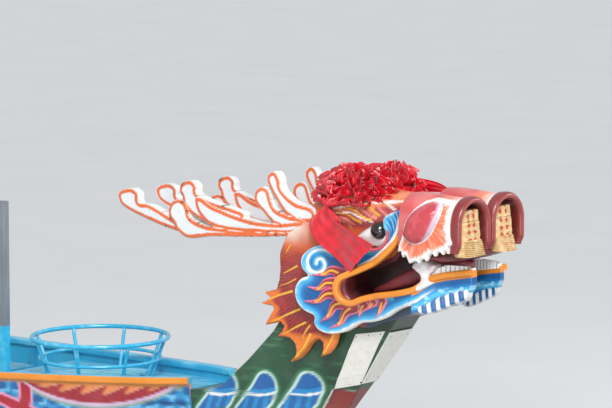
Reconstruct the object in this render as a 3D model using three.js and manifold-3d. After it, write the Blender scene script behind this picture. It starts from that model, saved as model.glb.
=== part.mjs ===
// A wooden dragon boat: planked hull with benches and decks, a carved dragon head
// on a raked neck, a carved tail, a guard ring and a steering oar in a swivelling oarlock.
// Millimetres. +X is the bow, +Y port, +Z up. The origin is amidships on the waterline.

import * as THREE from 'three';
import * as BufferGeometryUtils from 'three/addons/utils/BufferGeometryUtils.js';
import Module from 'manifold-3d';

const wasm = await Module();
wasm.setup();

// Driving dimensions
const GAP = 0.4;

const BOW_END = 5100;
const STERN_END = -5400;
const BOW_REACH = 5870;
const STERN_REACH = 6360;
const HALF_BEAM = 800;
const BOTTOM_Z = -230;
const DEADRISE = 30;
const SHEER_Z = 380;
const PLANK = 28;
const STATION_COUNT = 25;

const RAIL_IN = 45;
const RAIL_OUT = 22;
const RAIL_HEIGHT = 42;

const BENCH_FIRST_X = 2950;
const BENCH_PITCH = -880;
const BENCH_COUNT = 9;
const BENCH_WIDTH = 230;
const BENCH_THICK = 32;
const BENCH_BELOW_SHEER = 110;
const RISER_HEIGHT = 60;

const FOREDECK_AFT_X = 3500;
const AFTDECK_FORE_X = -4500;
const DECK_BELOW_SHEER = 35;
const DECK_THICK = 25;

const RING_X = 4180;
const RING_RADIUS = 420;
const RING_FOOT_RADIUS = 330;
const RING_HEIGHT = 235;
const RING_TUBE = 14;
const RING_LEGS = 8;

// The head is placed from the middle of the starboard eye.
const EYE = { x: 6550, y: 220, z: 1550 };
const CORE_HALF = 190;
const SNOUT_FRONT_X = 615;
const SNOUT_BACK_X = 205;
const SNOUT_HALF = 149;
const SNOUT_CENTRE_Y = 155;
const SNOUT_TOP_Z = 226;
const SNOUT_FLOOR_Z = -75;
const NOSTRIL_HALF = 98;
const NOSTRIL_TOP_Z = 172;
const NOSTRIL_BACK_X = 395;

const OARLOCK = { x: -4950, y: 640 };

const colours = {
  deepBlue: [0x115f9f, 0.45],
  hullBlue: [0x1c74b0, 0.5],
  cyan: [0x28b4dc, 0.45],
  green: [0x19482d, 0.5],
  maroon: [0x96302d, 0.4],
  orange: [0xe18c23, 0.4],
  fin: [0xa52d2d, 0.5],
  horn: [0xebe6e1, 0.45],
  bulge: [0xc84650, 0.3],
  white: [0xf0f0ec, 0.25],
  tongue: [0x781e28, 0.35],
  satin: [0xd70f28, 0.35],
  paper: [0xcdaa6e, 0.85],
  plate: [0xdcdad2, 0.4],
  steel: [0x80868a, 0.4],
  wood: [0xb98a55, 0.6],
};

const boat = new THREE.Group();
const solids = {};

// Adds a named sub-part in one of the colours above.
function addPart(name, geometry, colour, parent = boat) {
  const [color, roughness] = colours[colour];
  const metalness = colour === 'steel' ? 0.8 : 0;
  const material = new THREE.MeshStandardMaterial({ color, roughness, metalness });
  const mesh = new THREE.Mesh(geometry, material);
  mesh.name = name;
  parent.add(mesh);
  solids[name] = geometry;
  return mesh;
}

// A closed geometry with only its positions, so that shared corners can be merged.
function bare(geometry) {
  const copy = geometry.clone();
  copy.deleteAttribute('normal');
  copy.deleteAttribute('uv');
  return BufferGeometryUtils.mergeVertices(copy, 0.001);
}

function toSolid(geometry) {
  const merged = bare(geometry);
  const mesh = new wasm.Mesh({
    numProp: 3,
    vertProperties: new Float32Array(merged.attributes.position.array),
    triVerts: new Uint32Array(merged.index.array),
  });
  return new wasm.Manifold(mesh);
}

function toGeometry(solid) {
  const mesh = solid.getMesh();
  const geometry = new THREE.BufferGeometry();
  geometry.setAttribute('position', new THREE.BufferAttribute(mesh.vertProperties, 3));
  geometry.setIndex(new THREE.BufferAttribute(mesh.triVerts, 1));
  return geometry;
}

function join(...geometries) {
  return toGeometry(geometries.map(toSolid).reduce((all, next) => all.add(next)));
}

function cut(geometry, ...cutters) {
  return toGeometry(cutters.map(toSolid).reduce((rest, next) => rest.subtract(next), toSolid(geometry)));
}

// Cuts a piece back from its neighbours, leaving the paint gap along each axis, and
// keeps the largest body that remains.
function fitAgainst(geometry, ...neighbours) {
  const steps = [[GAP, 0, 0], [-GAP, 0, 0], [0, GAP, 0], [0, -GAP, 0], [0, 0, GAP], [0, 0, -GAP]];
  let solid = toSolid(geometry);
  for (const neighbour of neighbours) {
    for (const [x, y, z] of steps) {
      solid = solid.subtract(toSolid(neighbour.clone().translate(x, y, z)));
    }
  }
  const bodies = solid.decompose();
  bodies.sort((a, b) => b.volume() - a.volume());
  return toGeometry(bodies[0]);
}

// The starboard-to-port mirror image, with its faces turned back outward.
function mirrored(geometry) {
  const copy = bare(geometry);
  copy.scale(1, -1, 1);
  const index = copy.index.array;
  for (let i = 0; i < index.length; i += 3) {
    const first = index[i];
    index[i] = index[i + 1];
    index[i + 1] = first;
  }
  return copy;
}

function addPair(name, geometry, colour) {
  addPart(`${name}_starboard`, geometry, colour);
  addPart(`${name}_port`, mirrored(geometry), colour);
}

function box(xLow, xHigh, yLow, yHigh, zLow, zHigh) {
  const geometry = new THREE.BoxGeometry(xHigh - xLow, yHigh - yLow, zHigh - zLow);
  return geometry.translate((xLow + xHigh) / 2, (yLow + yHigh) / 2, (zLow + zHigh) / 2);
}

// A board cut to an outline of [x, z] in the fore-and-aft plane, on the starboard side,
// from one distance off the centre plane to another.
function sideBoard(outline, inner, outer) {
  const shape = new THREE.Shape(outline.map(([x, z]) => new THREE.Vector2(x, z)));
  const geometry = new THREE.ExtrudeGeometry(shape, { depth: outer - inner, bevelEnabled: false });
  geometry.rotateX(Math.PI / 2);
  return geometry.translate(0, -inner, 0);
}

// Moves the points of a starboard piece that lie beyond a distance off the centre plane
// outboard, by a distance worked out from their x.
function leanOut(geometry, distance, beyond = 0) {
  const copy = bare(geometry);
  const position = copy.attributes.position;
  for (let i = 0; i < position.count; i++) {
    const y = position.getY(i);
    if (-y > beyond) {
      position.setY(i, y - distance(position.getX(i)));
    }
  }
  return copy;
}

// A smooth closed outline through a few points.
function smoothOutline(points, steps) {
  const curve = new THREE.CatmullRomCurve3(points.map(([x, z]) => new THREE.Vector3(x, z, 0)), true);
  return curve.getPoints(steps).slice(0, -1).map((p) => [p.x, p.y]);
}

// Offsets from the eye turned into places on the boat.
function fromEye(points) {
  return points.map(([x, z]) => [EYE.x + x, EYE.z + z]);
}

// A closed skin over rings of equal length; flatten gives the plane in which the two
// end rings are filled. The faces are turned outward whichever way the rings run.
function loft(rings, flatten) {
  const count = rings[0].length;
  const positions = rings.flat().flatMap((p) => [p.x, p.y, p.z]);
  const index = [];
  for (let r = 0; r < rings.length - 1; r++) {
    for (let i = 0; i < count; i++) {
      const a = r * count + i;
      const b = r * count + ((i + 1) % count);
      index.push(a, b, b + count, a, b + count, a + count);
    }
  }
  const ends = [[rings[0], 0, true], [rings[rings.length - 1], (rings.length - 1) * count, false]];
  for (const [ring, start, isFirst] of ends) {
    const contour = ring.map(flatten);
    const forward = THREE.ShapeUtils.area(contour) > 0;
    for (const [a, b, c] of THREE.ShapeUtils.triangulateShape(contour, [])) {
      const face = forward === isFirst ? [a, c, b] : [a, b, c];
      index.push(start + face[0], start + face[1], start + face[2]);
    }
  }
  const geometry = new THREE.BufferGeometry();
  geometry.setAttribute('position', new THREE.Float32BufferAttribute(positions, 3));
  geometry.setIndex(index);
  return outward(matchEnds(geometry, rings, count));
}

// The end fills wind with the sides: ring order decides which way both run.
function matchEnds(geometry, rings, count) {
  const sides = (rings.length - 1) * count * 6;
  const index = geometry.index.array;
  const used = new Set();
  for (let i = 0; i < sides; i += 3) {
    for (let k = 0; k < 3; k++) {
      used.add(`${index[i + k]} ${index[i + ((k + 1) % 3)]}`);
    }
  }
  const capSize = (index.length - sides) / 2;
  for (const start of [sides, sides + capSize]) {
    let clashes = false;
    for (let i = start; i < start + capSize; i += 3) {
      for (let k = 0; k < 3; k++) {
        clashes = clashes || used.has(`${index[i + k]} ${index[i + ((k + 1) % 3)]}`);
      }
    }
    if (clashes) {
      turnFaces(index, start, start + capSize);
    }
  }
  return geometry;
}

function turnFaces(index, start, end) {
  for (let i = start; i < end; i += 3) {
    const first = index[i];
    index[i] = index[i + 1];
    index[i + 1] = first;
  }
}

function outward(geometry) {
  const position = geometry.attributes.position;
  const index = geometry.index.array;
  const a = new THREE.Vector3();
  const b = new THREE.Vector3();
  const c = new THREE.Vector3();
  let volume = 0;
  for (let i = 0; i < index.length; i += 3) {
    a.fromBufferAttribute(position, index[i]);
    b.fromBufferAttribute(position, index[i + 1]);
    c.fromBufferAttribute(position, index[i + 2]);
    volume += a.dot(b.cross(c));
  }
  if (volume < 0) {
    turnFaces(index, 0, index.length);
  }
  return geometry;
}

const acrossX = (p) => new THREE.Vector2(p.y, p.z);
const acrossZ = (p) => new THREE.Vector2(p.x, p.y);

// A round bar along a smooth path of points.
function bar(points, radius, steps, sides, closed = false) {
  const path = new THREE.CatmullRomCurve3(points, closed);
  const section = new THREE.Shape();
  section.absarc(0, 0, radius, 0, Math.PI * 2);
  const options = { steps, extrudePath: path, curveSegments: sides, bevelEnabled: false };
  return new THREE.ExtrudeGeometry(section, options);
}

function straightBar(from, to, radius, sides) {
  const geometry = new THREE.CylinderGeometry(radius, radius, from.distanceTo(to), sides);
  const direction = to.clone().sub(from).normalize();
  geometry.applyQuaternion(new THREE.Quaternion().setFromUnitVectors(new THREE.Vector3(0, 1, 0), direction));
  const middle = from.clone().add(to).multiplyScalar(0.5);
  return geometry.translate(middle.x, middle.y, middle.z);
}

// Hull lines: the half beam falls off with a power of the distance from amidships.
function reach(x) {
  return Math.abs(x) / (x > 0 ? BOW_REACH : STERN_REACH);
}

function halfBeam(x) {
  return HALF_BEAM * (1 - reach(x) ** 2.4);
}

function sheer(x) {
  return SHEER_Z + (x > 0 ? 190 : 260) * reach(x) ** 2.2;
}

function bottom(x) {
  return BOTTOM_Z + 130 * reach(x) ** 4;
}

function bottomHalf(x) {
  return 0.56 * halfBeam(x);
}

// Outer corners of the starboard side at a station, from the bottom edge to the sheer.
function sideCorners(x) {
  const half = halfBeam(x);
  const low = bottom(x);
  const depth = sheer(x) - low;
  return [
    [bottomHalf(x) + GAP, low],
    [0.86 * half, low + 0.2 * depth],
    [0.97 * half, low + 0.55 * depth],
    [half, sheer(x)],
  ];
}

function innerHalf(x, z) {
  const corners = sideCorners(x);
  for (let i = 1; i < corners.length; i++) {
    const [y0, z0] = corners[i - 1];
    const [y1, z1] = corners[i];
    if (z <= z1) {
      return y0 + (y1 - y0) * (z - z0) / (z1 - z0) - PLANK * 1.15;
    }
  }
  return corners[corners.length - 1][0] - PLANK * 1.15;
}

function stations(from, to, count) {
  return Array.from({ length: count }, (_, i) => from + (to - from) * i / (count - 1));
}

function ringAt(x, corners) {
  return corners.map(([y, z]) => new THREE.Vector3(x, y, z));
}

function hullLoft(from, to, count, cornersAt) {
  return loft(stations(from, to, count).map((x) => ringAt(x, cornersAt(x))), acrossX);
}

// Hull shell
addPart('bottom_planks', hullLoft(STERN_END, BOW_END, STATION_COUNT, (x) => {
  const half = bottomHalf(x);
  const low = bottom(x);
  return [
    [-half, low], [0, low - DEADRISE], [half, low],
    [half, low + PLANK], [0, low - DEADRISE + PLANK], [-half, low + PLANK],
  ];
}), 'hullBlue');

const sidePlanks = hullLoft(STERN_END, BOW_END, STATION_COUNT, (x) => {
  const outer = sideCorners(x);
  const inner = outer.map(([y, z], i) => (i === 0 ? [y, z + PLANK] : [y - PLANK, z + (i === 1 ? PLANK / 2 : 0)]));
  return [...outer, ...inner.reverse()].map(([y, z]) => [-y, z]);
});
addPair('side_planks', sidePlanks, 'hullBlue');

const KEEL_DEPTH = 70;
const KEEL_HALF = 28;
const keel = hullLoft(STERN_END, BOW_END, STATION_COUNT, (x) => {
  const top = bottom(x) - DEADRISE - GAP;
  const slope = DEADRISE * KEEL_HALF / bottomHalf(x);
  return [[-KEEL_HALF, top - KEEL_DEPTH], [KEEL_HALF, top - KEEL_DEPTH], [KEEL_HALF, top + slope], [0, top],
    [-KEEL_HALF, top + slope]];
});
addPart('keel', fitAgainst(keel, solids.bottom_planks), 'green');

const gunwale = hullLoft(STERN_END, BOW_END, STATION_COUNT, (x) => {
  const half = halfBeam(x);
  const low = sheer(x) + GAP;
  return [[-half - RAIL_OUT, low], [-half + RAIL_IN, low], [-half + RAIL_IN, low + RAIL_HEIGHT],
    [-half - RAIL_OUT, low + RAIL_HEIGHT]];
});
addPair('gunwale', gunwale, 'cyan');

// Frames inside the planking, tied together by the bench riser on each side.
const RIB_SPACING = 1000;
const RIB_WIDTH = 45;
const RIB_DEPTH = 38;

function ribCorners(x) {
  const outer = sideCorners(x).map(([y, z], i) => [y - PLANK - 3, i === 0 ? z + PLANK + 4 : z + (i === 1 ? 16 : 0)]);
  outer[3][1] -= 6;
  const inner = outer.map(([y, z], i) => [y - RIB_DEPTH, z + (i < 2 ? RIB_DEPTH : 0)]);
  return [...outer, ...inner.reverse()].map(([y, z]) => [-y, z]);
}

function benchTop(x) {
  return sheer(x) - BENCH_BELOW_SHEER;
}

const riser = hullLoft(-4350, 3350, 15, (x) => {
  const high = benchTop(x) - BENCH_THICK - GAP;
  const low = high - RISER_HEIGHT;
  const highHalf = innerHalf(x, high) - 5;
  const lowHalf = innerHalf(x, low) - 5;
  return [[-highHalf, high], [-lowHalf, low], [-lowHalf + 45, low], [-highHalf + 45, high]];
});
const ribs = stations(-4000, 3000, 8).map((x) => hullLoft(x - RIB_WIDTH / 2, x + RIB_WIDTH / 2, 2, ribCorners));
addPair('ribs', join(riser, ...ribs), 'cyan');

// Benches, each a board across the hull that rests on the two risers.
for (let i = 0; i < BENCH_COUNT; i++) {
  const x = BENCH_FIRST_X + BENCH_PITCH * i;
  const high = Math.max(benchTop(x - BENCH_WIDTH / 2), benchTop(x + BENCH_WIDTH / 2)) + GAP;
  const half = Math.min(innerHalf(x - BENCH_WIDTH / 2, high), innerHalf(x + BENCH_WIDTH / 2, high)) - 4;
  const ribRoom = RIB_DEPTH + 4;
  addPart(`bench_${i + 1}`, box(x - BENCH_WIDTH / 2, x + BENCH_WIDTH / 2, -half + ribRoom, half - ribRoom,
    high - BENCH_THICK, high), 'cyan');
}

// Slatted floor on the bottom planks.
const FLOOR_HALF = 300;
const FLOOR_SLATS = 5;
const SLAT_THICK = 20;
const slatPitch = 2 * FLOOR_HALF / FLOOR_SLATS;
const floorPieces = stations(-FLOOR_HALF + slatPitch / 2, FLOOR_HALF - slatPitch / 2, FLOOR_SLATS).map((y) =>
  hullLoft(-3900, 2900, 9, (x) => {
    const low = bottom(x) + PLANK + 32;
    return [[y - slatPitch / 2 + 8, low], [y + slatPitch / 2 - 8, low],
      [y + slatPitch / 2 - 8, low + SLAT_THICK], [y - slatPitch / 2 + 8, low + SLAT_THICK]];
  }));
const battens = stations(-3700, 2700, 9).map((x) =>
  box(x - 30, x + 30, -FLOOR_HALF + 10, FLOOR_HALF - 10, bottom(x) + PLANK + 6, bottom(x) + PLANK + 40));
addPart('floor_slats', join(...floorPieces, ...battens), 'cyan');

// Decks at the ends
function deck(from, to) {
  return hullLoft(from, to, 7, (x) => {
    const high = sheer(x) - DECK_BELOW_SHEER;
    const half = innerHalf(x, high - DECK_THICK) - 3;
    return [[-half, high - DECK_THICK], [half, high - DECK_THICK], [half, high], [-half, high]];
  });
}

addPart('foredeck', deck(FOREDECK_AFT_X, BOW_END - 30), 'cyan');
addPart('aftdeck', deck(STERN_END + 30, AFTDECK_FORE_X), 'cyan');

// Guard ring of steel tube on the foredeck
const ringDeckZ = sheer(RING_X + RING_FOOT_RADIUS) - DECK_BELOW_SHEER;
const ringTopZ = ringDeckZ + RING_HEIGHT;

function hoop(radius, z, tube) {
  const geometry = new THREE.TorusGeometry(radius, tube, 6, 32);
  return geometry.translate(RING_X, 0, z);
}

function deckZ(x) {
  return sheer(x) - DECK_BELOW_SHEER;
}

const ringLegs = stations(0, 2 * Math.PI * (1 - 1 / RING_LEGS), RING_LEGS).map((turn) => {
  const aim = turn + Math.PI / RING_LEGS;
  const footX = RING_X + RING_FOOT_RADIUS * Math.cos(aim);
  const foot = new THREE.Vector3(footX, RING_FOOT_RADIUS * Math.sin(aim), deckZ(footX) + 8);
  const head = new THREE.Vector3(RING_X + RING_RADIUS * Math.cos(aim), RING_RADIUS * Math.sin(aim), ringTopZ);
  return straightBar(foot, head, RING_TUBE * 0.8, 6);
});
addPart('guard_ring', join(hoop(RING_RADIUS, ringTopZ, RING_TUBE), hoop(372, ringTopZ - 130, RING_TUBE * 0.8),
  ...ringLegs), 'cyan');

// Slatted panel inside the ring
const panelSlats = stations(-200, 200, 6).map((y) => {
  const reachX = Math.sqrt(270 ** 2 - y ** 2);
  return hullLoft(RING_X - reachX, RING_X + reachX, 3, (x) => {
    const low = deckZ(x) + 14;
    return [[y - 30, low], [y + 30, low], [y + 30, low + 14], [y - 30, low + 14]];
  });
});
const panelBattens = [-120, 120].map((dx) => {
  const x = RING_X + dx;
  return box(x - 22, x + 22, -228, 228, deckZ(x + 22) + GAP, deckZ(x) + 20);
});
addPart('ring_panel', join(...panelSlats, ...panelBattens), 'cyan');

// Steel post beside the ring
const POST_X = 3640;
const POST_Y = -300;
const POST_HALF = 29;
addPart('deck_post', join(
  box(POST_X - POST_HALF, POST_X + POST_HALF, POST_Y - POST_HALF, POST_Y + POST_HALF, deckZ(POST_X) + 6,
    deckZ(POST_X) + 1100),
  box(POST_X - 60, POST_X + 60, POST_Y - 60, POST_Y + 60, deckZ(POST_X + 60) + GAP, deckZ(POST_X) + 14),
), 'steel');

// Neck: a raked wedge that is also the stem, from level sections with named columns.
// z, aft end, half width aft, place of the widest point, half width there, front, half width of the front.
const neckSections = [
  [-300, 5101, 26, 5250, 26, 5500, 10],
  [-150, 5101, 75, 5300, 62, 5710, 12],
  [0, 5101, 118, 5350, 104, 5838, 14],
  [200, 5101, 160, 5450, 140, 5982, 16],
  [420, 5101, 190, 5600, 165, 6140, 24],
  [488, 5101, 198, 5640, 175, 6189, 36],
  [530, 5335, 196, 5720, 182, 6219, 45],
  [714, 5550, 192, 5850, 190, 6352, 84],
  [900, 5740, 188, 6000, 190, 6486, 110],
  [975, 5795, 188, 6060, 190, 6540, 116],
];
const neck = loft(neckSections.map(([z, aft, aftHalf, midX, midHalf, front, frontHalf]) => [
  new THREE.Vector3(aft, -aftHalf, z), new THREE.Vector3(midX, -midHalf, z),
  new THREE.Vector3(front, -frontHalf, z), new THREE.Vector3(front, frontHalf, z),
  new THREE.Vector3(midX, midHalf, z), new THREE.Vector3(aft, aftHalf, z),
]), acrossZ);
addPart('neck', fitAgainst(neck, ...['foredeck', 'gunwale_starboard', 'gunwale_port'].map((n) => solids[n])), 'green');

// Tail: a sternpost that sweeps up and aft into a comb of curled flames.
function flame(root, bend, tip, rootHalf, tipHalf) {
  const curve = new THREE.QuadraticBezierCurve(new THREE.Vector2(...root), new THREE.Vector2(...bend),
    new THREE.Vector2(...tip));
  const left = [];
  const right = [];
  const steps = 9;
  for (let i = 0; i <= steps; i++) {
    const t = i / steps;
    const p = curve.getPoint(t);
    const side = curve.getTangent(t);
    const half = rootHalf + (tipHalf - rootHalf) * t;
    left.push([p.x - side.y * half, p.y + side.x * half]);
    right.push([p.x + side.y * half, p.y - side.x * half]);
  }
  const end = curve.getPoint(1);
  const heading = Math.atan2(curve.getTangent(1).y, curve.getTangent(1).x);
  const cap = stations(Math.PI / 2, -Math.PI / 2, 5).slice(1, -1).map((turn) =>
    [end.x + tipHalf * Math.cos(heading + turn), end.y + tipHalf * Math.sin(heading + turn)]);
  return [...left, ...cap, ...right.reverse()];
}

const sternpost = loft([
  [-300, -5401, 26, -5500, 10], [-120, -5401, 90, -5640, 14], [60, -5401, 140, -5760, 18],
  [300, -5401, 190, -5930, 30], [470, -5401, 212, -6050, 44], [600, -5401, 220, -6120, 60],
].map(([z, fore, foreHalf, aft, aftHalf]) => [
  new THREE.Vector3(fore, -foreHalf, z), new THREE.Vector3(aft, -aftHalf, z),
  new THREE.Vector3(aft, aftHalf, z), new THREE.Vector3(fore, foreHalf, z),
]), acrossZ);
const TAIL_HALF = 45;
// root, bend and tip of each flame as [x, z], then its half width at the root and the tip.
const tailFlames = [
  [[-5650, 560], [-6350, 590], [-6500, 1050], 150, 100],
  [[-6440, 960], [-6480, 1420], [-6230, 1540], 105, 12],
  [[-6480, 980], [-6640, 1380], [-6560, 1690], 105, 12],
  [[-6500, 950], [-6760, 1150], [-6790, 1470], 100, 12],
  [[-6450, 880], [-6740, 860], [-6868, 1120], 90, 12],
  [[-6330, 760], [-6600, 690], [-6760, 850], 75, 12],
  [[-6120, 740], [-6230, 960], [-6150, 1120], 80, 12],
  [[-5820, 640], [-5930, 840], [-5860, 980], 75, 12],
];
const tailBoards = tailFlames.map(([root, bend, tip, rootHalf, tipHalf]) =>
  sideBoard(flame(root, bend, tip, rootHalf, tipHalf), -TAIL_HALF, TAIL_HALF));
addPart('tail', fitAgainst(join(sternpost, ...tailBoards),
  ...['aftdeck', 'gunwale_starboard', 'gunwale_port'].map((n) => solids[n])), 'green');

// Head core: the skull block with the open mouth cut from the front.
const coreOutline = fromEye([
  [-700, 20], [-600, 90], [-540, 150], [-260, 215], [0, 205], [200, 178], [200, -76], [168, -80],
  [95, -160], [-31, -215], [-167, -240], [-215, -290], [-225, -330], [-167, -385], [-31, -372], [235, -322],
  [235, -440], [60, -500], [-100, -560], [-640, -570], [-740, -420], [-760, -100],
]);
// The crown is vaulted: sections across the head with a half ellipse on top, at each [x, top] from the eye.
const VAULT_RISE = 130;
const crownLine = [[-770, -110], [-700, 20], [-600, 90], [-540, 150], [-260, 215], [0, 205], [240, 170]];
const vault = loft(fromEye(crownLine).map(([x, top]) => ringAt(x, [
  [-CORE_HALF, EYE.z - 620], [CORE_HALF, EYE.z - 620],
  ...stations(0, Math.PI, 9).map((turn) => [CORE_HALF * Math.cos(turn), top - VAULT_RISE * (1 - Math.sin(turn))]),
])), acrossX);
const block = sideBoard(coreOutline, -CORE_HALF - 1, CORE_HALF + 1);
const core = toGeometry(toSolid(block).intersect(toSolid(vault)));
addPart('head_core', fitAgainst(core, neck), 'orange');

// Snout: two nostril arches side by side, open in front and below.
function arch(half, top, floor, segments) {
  const spring = top - half;
  const shape = new THREE.Shape();
  shape.moveTo(-half, floor);
  shape.lineTo(half, floor);
  shape.lineTo(half, spring);
  shape.absarc(0, spring, half, 0, Math.PI, false);
  shape.lineTo(-half, floor);
  return { shape, segments };
}

// An arch in the athwartships plane carried along x.
function archSolid({ shape, segments }, from, to) {
  const geometry = new THREE.ExtrudeGeometry(shape, { depth: to - from, bevelEnabled: false, curveSegments: segments });
  geometry.rotateX(Math.PI / 2);
  geometry.rotateZ(Math.PI / 2);
  return geometry.translate(EYE.x + from, -SNOUT_CENTRE_Y, EYE.z);
}

const snout = cut(
  archSolid(arch(SNOUT_HALF, SNOUT_TOP_Z, SNOUT_FLOOR_Z, 10), SNOUT_BACK_X, SNOUT_FRONT_X),
  archSolid(arch(NOSTRIL_HALF, NOSTRIL_TOP_Z, SNOUT_FLOOR_Z - 40, 8), NOSTRIL_BACK_X, SNOUT_FRONT_X + 40),
);
addPair('snout', fitAgainst(snout, solids.head_core), 'maroon');

// Egg-shaped bulge on the outer side of each snout
const bulge = new THREE.SphereGeometry(1, 16, 10);
bulge.scale(104, 78, 124);
bulge.rotateY(THREE.MathUtils.degToRad(14));
bulge.translate(EYE.x + 318, -SNOUT_CENTRE_Y - SNOUT_HALF + 8, EYE.z + 74);
addPair('bulge', fitAgainst(bulge, solids.snout_starboard, solids.head_core), 'bulge');

// Eye: a white almond with the dark ball of the pupil set in it
const almond = new THREE.SphereGeometry(1, 14, 10);
almond.scale(92, 62, 58);
almond.rotateY(THREE.MathUtils.degToRad(-28));
almond.translate(EYE.x - 45, -CORE_HALF - 18, EYE.z - 38);
const pupil = new THREE.SphereGeometry(43, 14, 10);
pupil.translate(EYE.x, -CORE_HALF - 45, EYE.z);
addPair('eye', fitAgainst(join(almond, pupil), solids.head_core), 'white');

// Fin behind the cheek: a hatched board with jagged spikes below and behind.
const finOutline = fromEye([
  [-470, 0], [-640, -60], [-679, -172], [-693, -305], [-708, -406],
  [-842, -485], [-765, -480], [-737, -503], [-802, -603], [-693, -576], [-665, -601], [-708, -665],
  [-629, -663], [-579, -724], [-629, -805], [-529, -735], [-494, -683], [-430, -654], [-395, -678],
  [-416, -752], [-360, -723], [-318, -664], [-290, -560], [-250, -300], [-300, -60],
]);
const finLean = (x) => 40 * THREE.MathUtils.clamp((EYE.x - 350 - x) / 400, 0, 1);
const fin = leanOut(sideBoard(finOutline, CORE_HALF + GAP, CORE_HALF + 42), finLean, CORE_HALF + GAP + 1);
addPair('fin', fitAgainst(fin, solids.head_core, neck), 'fin');

// Cheek: a cloud-edged board with the scroll at its top, over the fin and along the jaw.
const cheekOutline = smoothOutline(fromEye([
  [-300, -88], [-397, -113], [-478, -190], [-430, -285], [-510, -340], [-522, -410], [-470, -470],
  [-376, -507], [-370, -560], [-290, -600], [-190, -570], [-78, -520], [58, -495], [166, -448], [228, -400],
  [232, -335], [100, -345], [-20, -372], [-160, -400], [-240, -345], [-235, -280], [-170, -225], [-30, -200],
  [80, -150], [140, -80], [170, 0], [180, 60], [120, 40], [60, -40], [-20, -100], [-120, -130], [-210, -130],
]), 84);
const cheekLean = (x) => 135 * THREE.MathUtils.clamp((EYE.x + 150 - x) / 600, 0, 1);
const cheek = leanOut(sideBoard(cheekOutline, CORE_HALF - 50, CORE_HALF + 52), cheekLean, CORE_HALF);
addPair('cheek', fitAgainst(cheek, solids.head_core, solids.fin_starboard,
  solids.eye_starboard, solids.bulge_starboard, solids.snout_starboard, neck), 'deepBlue');

// Lip: a round band along the mouth. Each point is [x, distance off the centre plane, z] from the eye.
const LIP_RADIUS = 18;
const lipPoints = [
  [178, 222, 40], [165, 232, -70], [95, 252, -158], [-31, 290, -212], [-150, 310, -236], [-222, 322, -285],
  [-232, 322, -335], [-165, 312, -394], [-20, 292, -366], [180, 262, -322],
];
const lipPath = lipPoints.map(([x, y, z]) => new THREE.Vector3(EYE.x + x, -y, EYE.z + z));
const lip = bar(lipPath, LIP_RADIUS, 44, 8);
addPair('lip', fitAgainst(lip, solids.cheek_starboard, solids.head_core, solids.eye_starboard,
  solids.bulge_starboard, solids.snout_starboard), 'orange');

// Lower jaw: two prongs joined at the back, with a slot between them.
const prongOutline = fromEye([
  [236, -324], [330, -268], [420, -232], [655, -196], [655, -262], [640, -300], [430, -330], [300, -420],
  [236, -440],
]);
const prongLean = (x) => 62 * THREE.MathUtils.clamp((EYE.x + 640 - x) / 400, 0, 1);
const prong = leanOut(sideBoard(prongOutline, 95, 172), prongLean);
const jawRoot = box(EYE.x + 236, EYE.x + 300, -160, 160, EYE.z - 436, EYE.z - 330);
addPart('jaw', fitAgainst(join(prong, mirrored(prong), jawRoot), solids.head_core, solids.cheek_starboard,
  solids.cheek_port, solids.lip_starboard, solids.lip_port), 'deepBlue');

// Rounded ribs under each prong, like a comb.
const BEARD_RIBS = 6;
const beardRibs = stations(0, 1, BEARD_RIBS).map((t) => {
  const x = EYE.x + 318 + 282 * t;
  const offset = 136 + prongLean(x);
  const low = EYE.z - 425 + 75 * t;
  const rib = new THREE.CapsuleGeometry(27, 62, 3, 8);
  rib.rotateX(Math.PI / 2);
  return rib.translate(x, -offset, low + 62);
});
const beardBars = beardRibs.map((rib, i) => {
  const t = i / (BEARD_RIBS - 1);
  const x = EYE.x + 318 + 282 * t;
  const low = EYE.z - 425 + 75 * t;
  return box(x - 30, x + 30, -(168 + prongLean(x)), -(104 + prongLean(x)), low + 40, low + 110);
});
addPair('jaw_ribs', fitAgainst(join(...beardBars, ...beardRibs.map((rib) => bare(rib))), solids.jaw,
  solids.cheek_starboard, solids.head_core), 'white');

// Teeth: a notched strip along each prong with a tall fang at its back.
const TOOTH_COUNT = 8;
const toothRow = Array.from({ length: TOOTH_COUNT }, (_, i) => {
  const x = EYE.x + 440 + 27 * i;
  const low = EYE.z - 228 + 0.15 * 27 * i;
  return box(x, x + 21, -(150 + prongLean(x)), -(112 + prongLean(x)), low - 10, low + 38);
});
const toothBase = leanOut(sideBoard(fromEye([[345, -262], [420, -232], [652, -196], [652, -176], [420, -210],
  [345, -225]]), 112, 156), prongLean);
const fangOutline = fromEye([[250, -318], [262, -190], [318, -118], [330, -170], [362, -190], [368, -250],
  [330, -268]]);
const fang = leanOut(sideBoard(fangOutline, 118, 158), prongLean);
addPair('teeth', fitAgainst(join(toothBase, fang, ...toothRow), solids.jaw, solids.head_core,
  solids.cheek_starboard, solids.snout_starboard, solids.lip_starboard, solids.jaw_ribs_starboard), 'white');

// Tongue: a slab that rises forward to a rounded tip.
const tonguePath = [[-130, -350], [60, -318], [230, -262], [380, -196], [470, -176]]
  .map(([x, z]) => new THREE.Vector3(EYE.x + x, 0, EYE.z + z));
const tongueRings = tonguePath.map((p, i) => {
  const half = [78, 78, 78, 74, 44][i];
  const thick = [30, 34, 38, 40, 26][i];
  return Array.from({ length: 10 }, (_, k) => {
    const turn = 2 * Math.PI * k / 10;
    return new THREE.Vector3(p.x, half * Math.cos(turn), p.z + thick * Math.sin(turn));
  });
});
addPart('tongue', fitAgainst(loft(tongueRings, acrossX), solids.head_core, solids.jaw, solids.teeth_starboard,
  solids.teeth_port, solids.snout_starboard, solids.snout_port), 'tongue');

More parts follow.
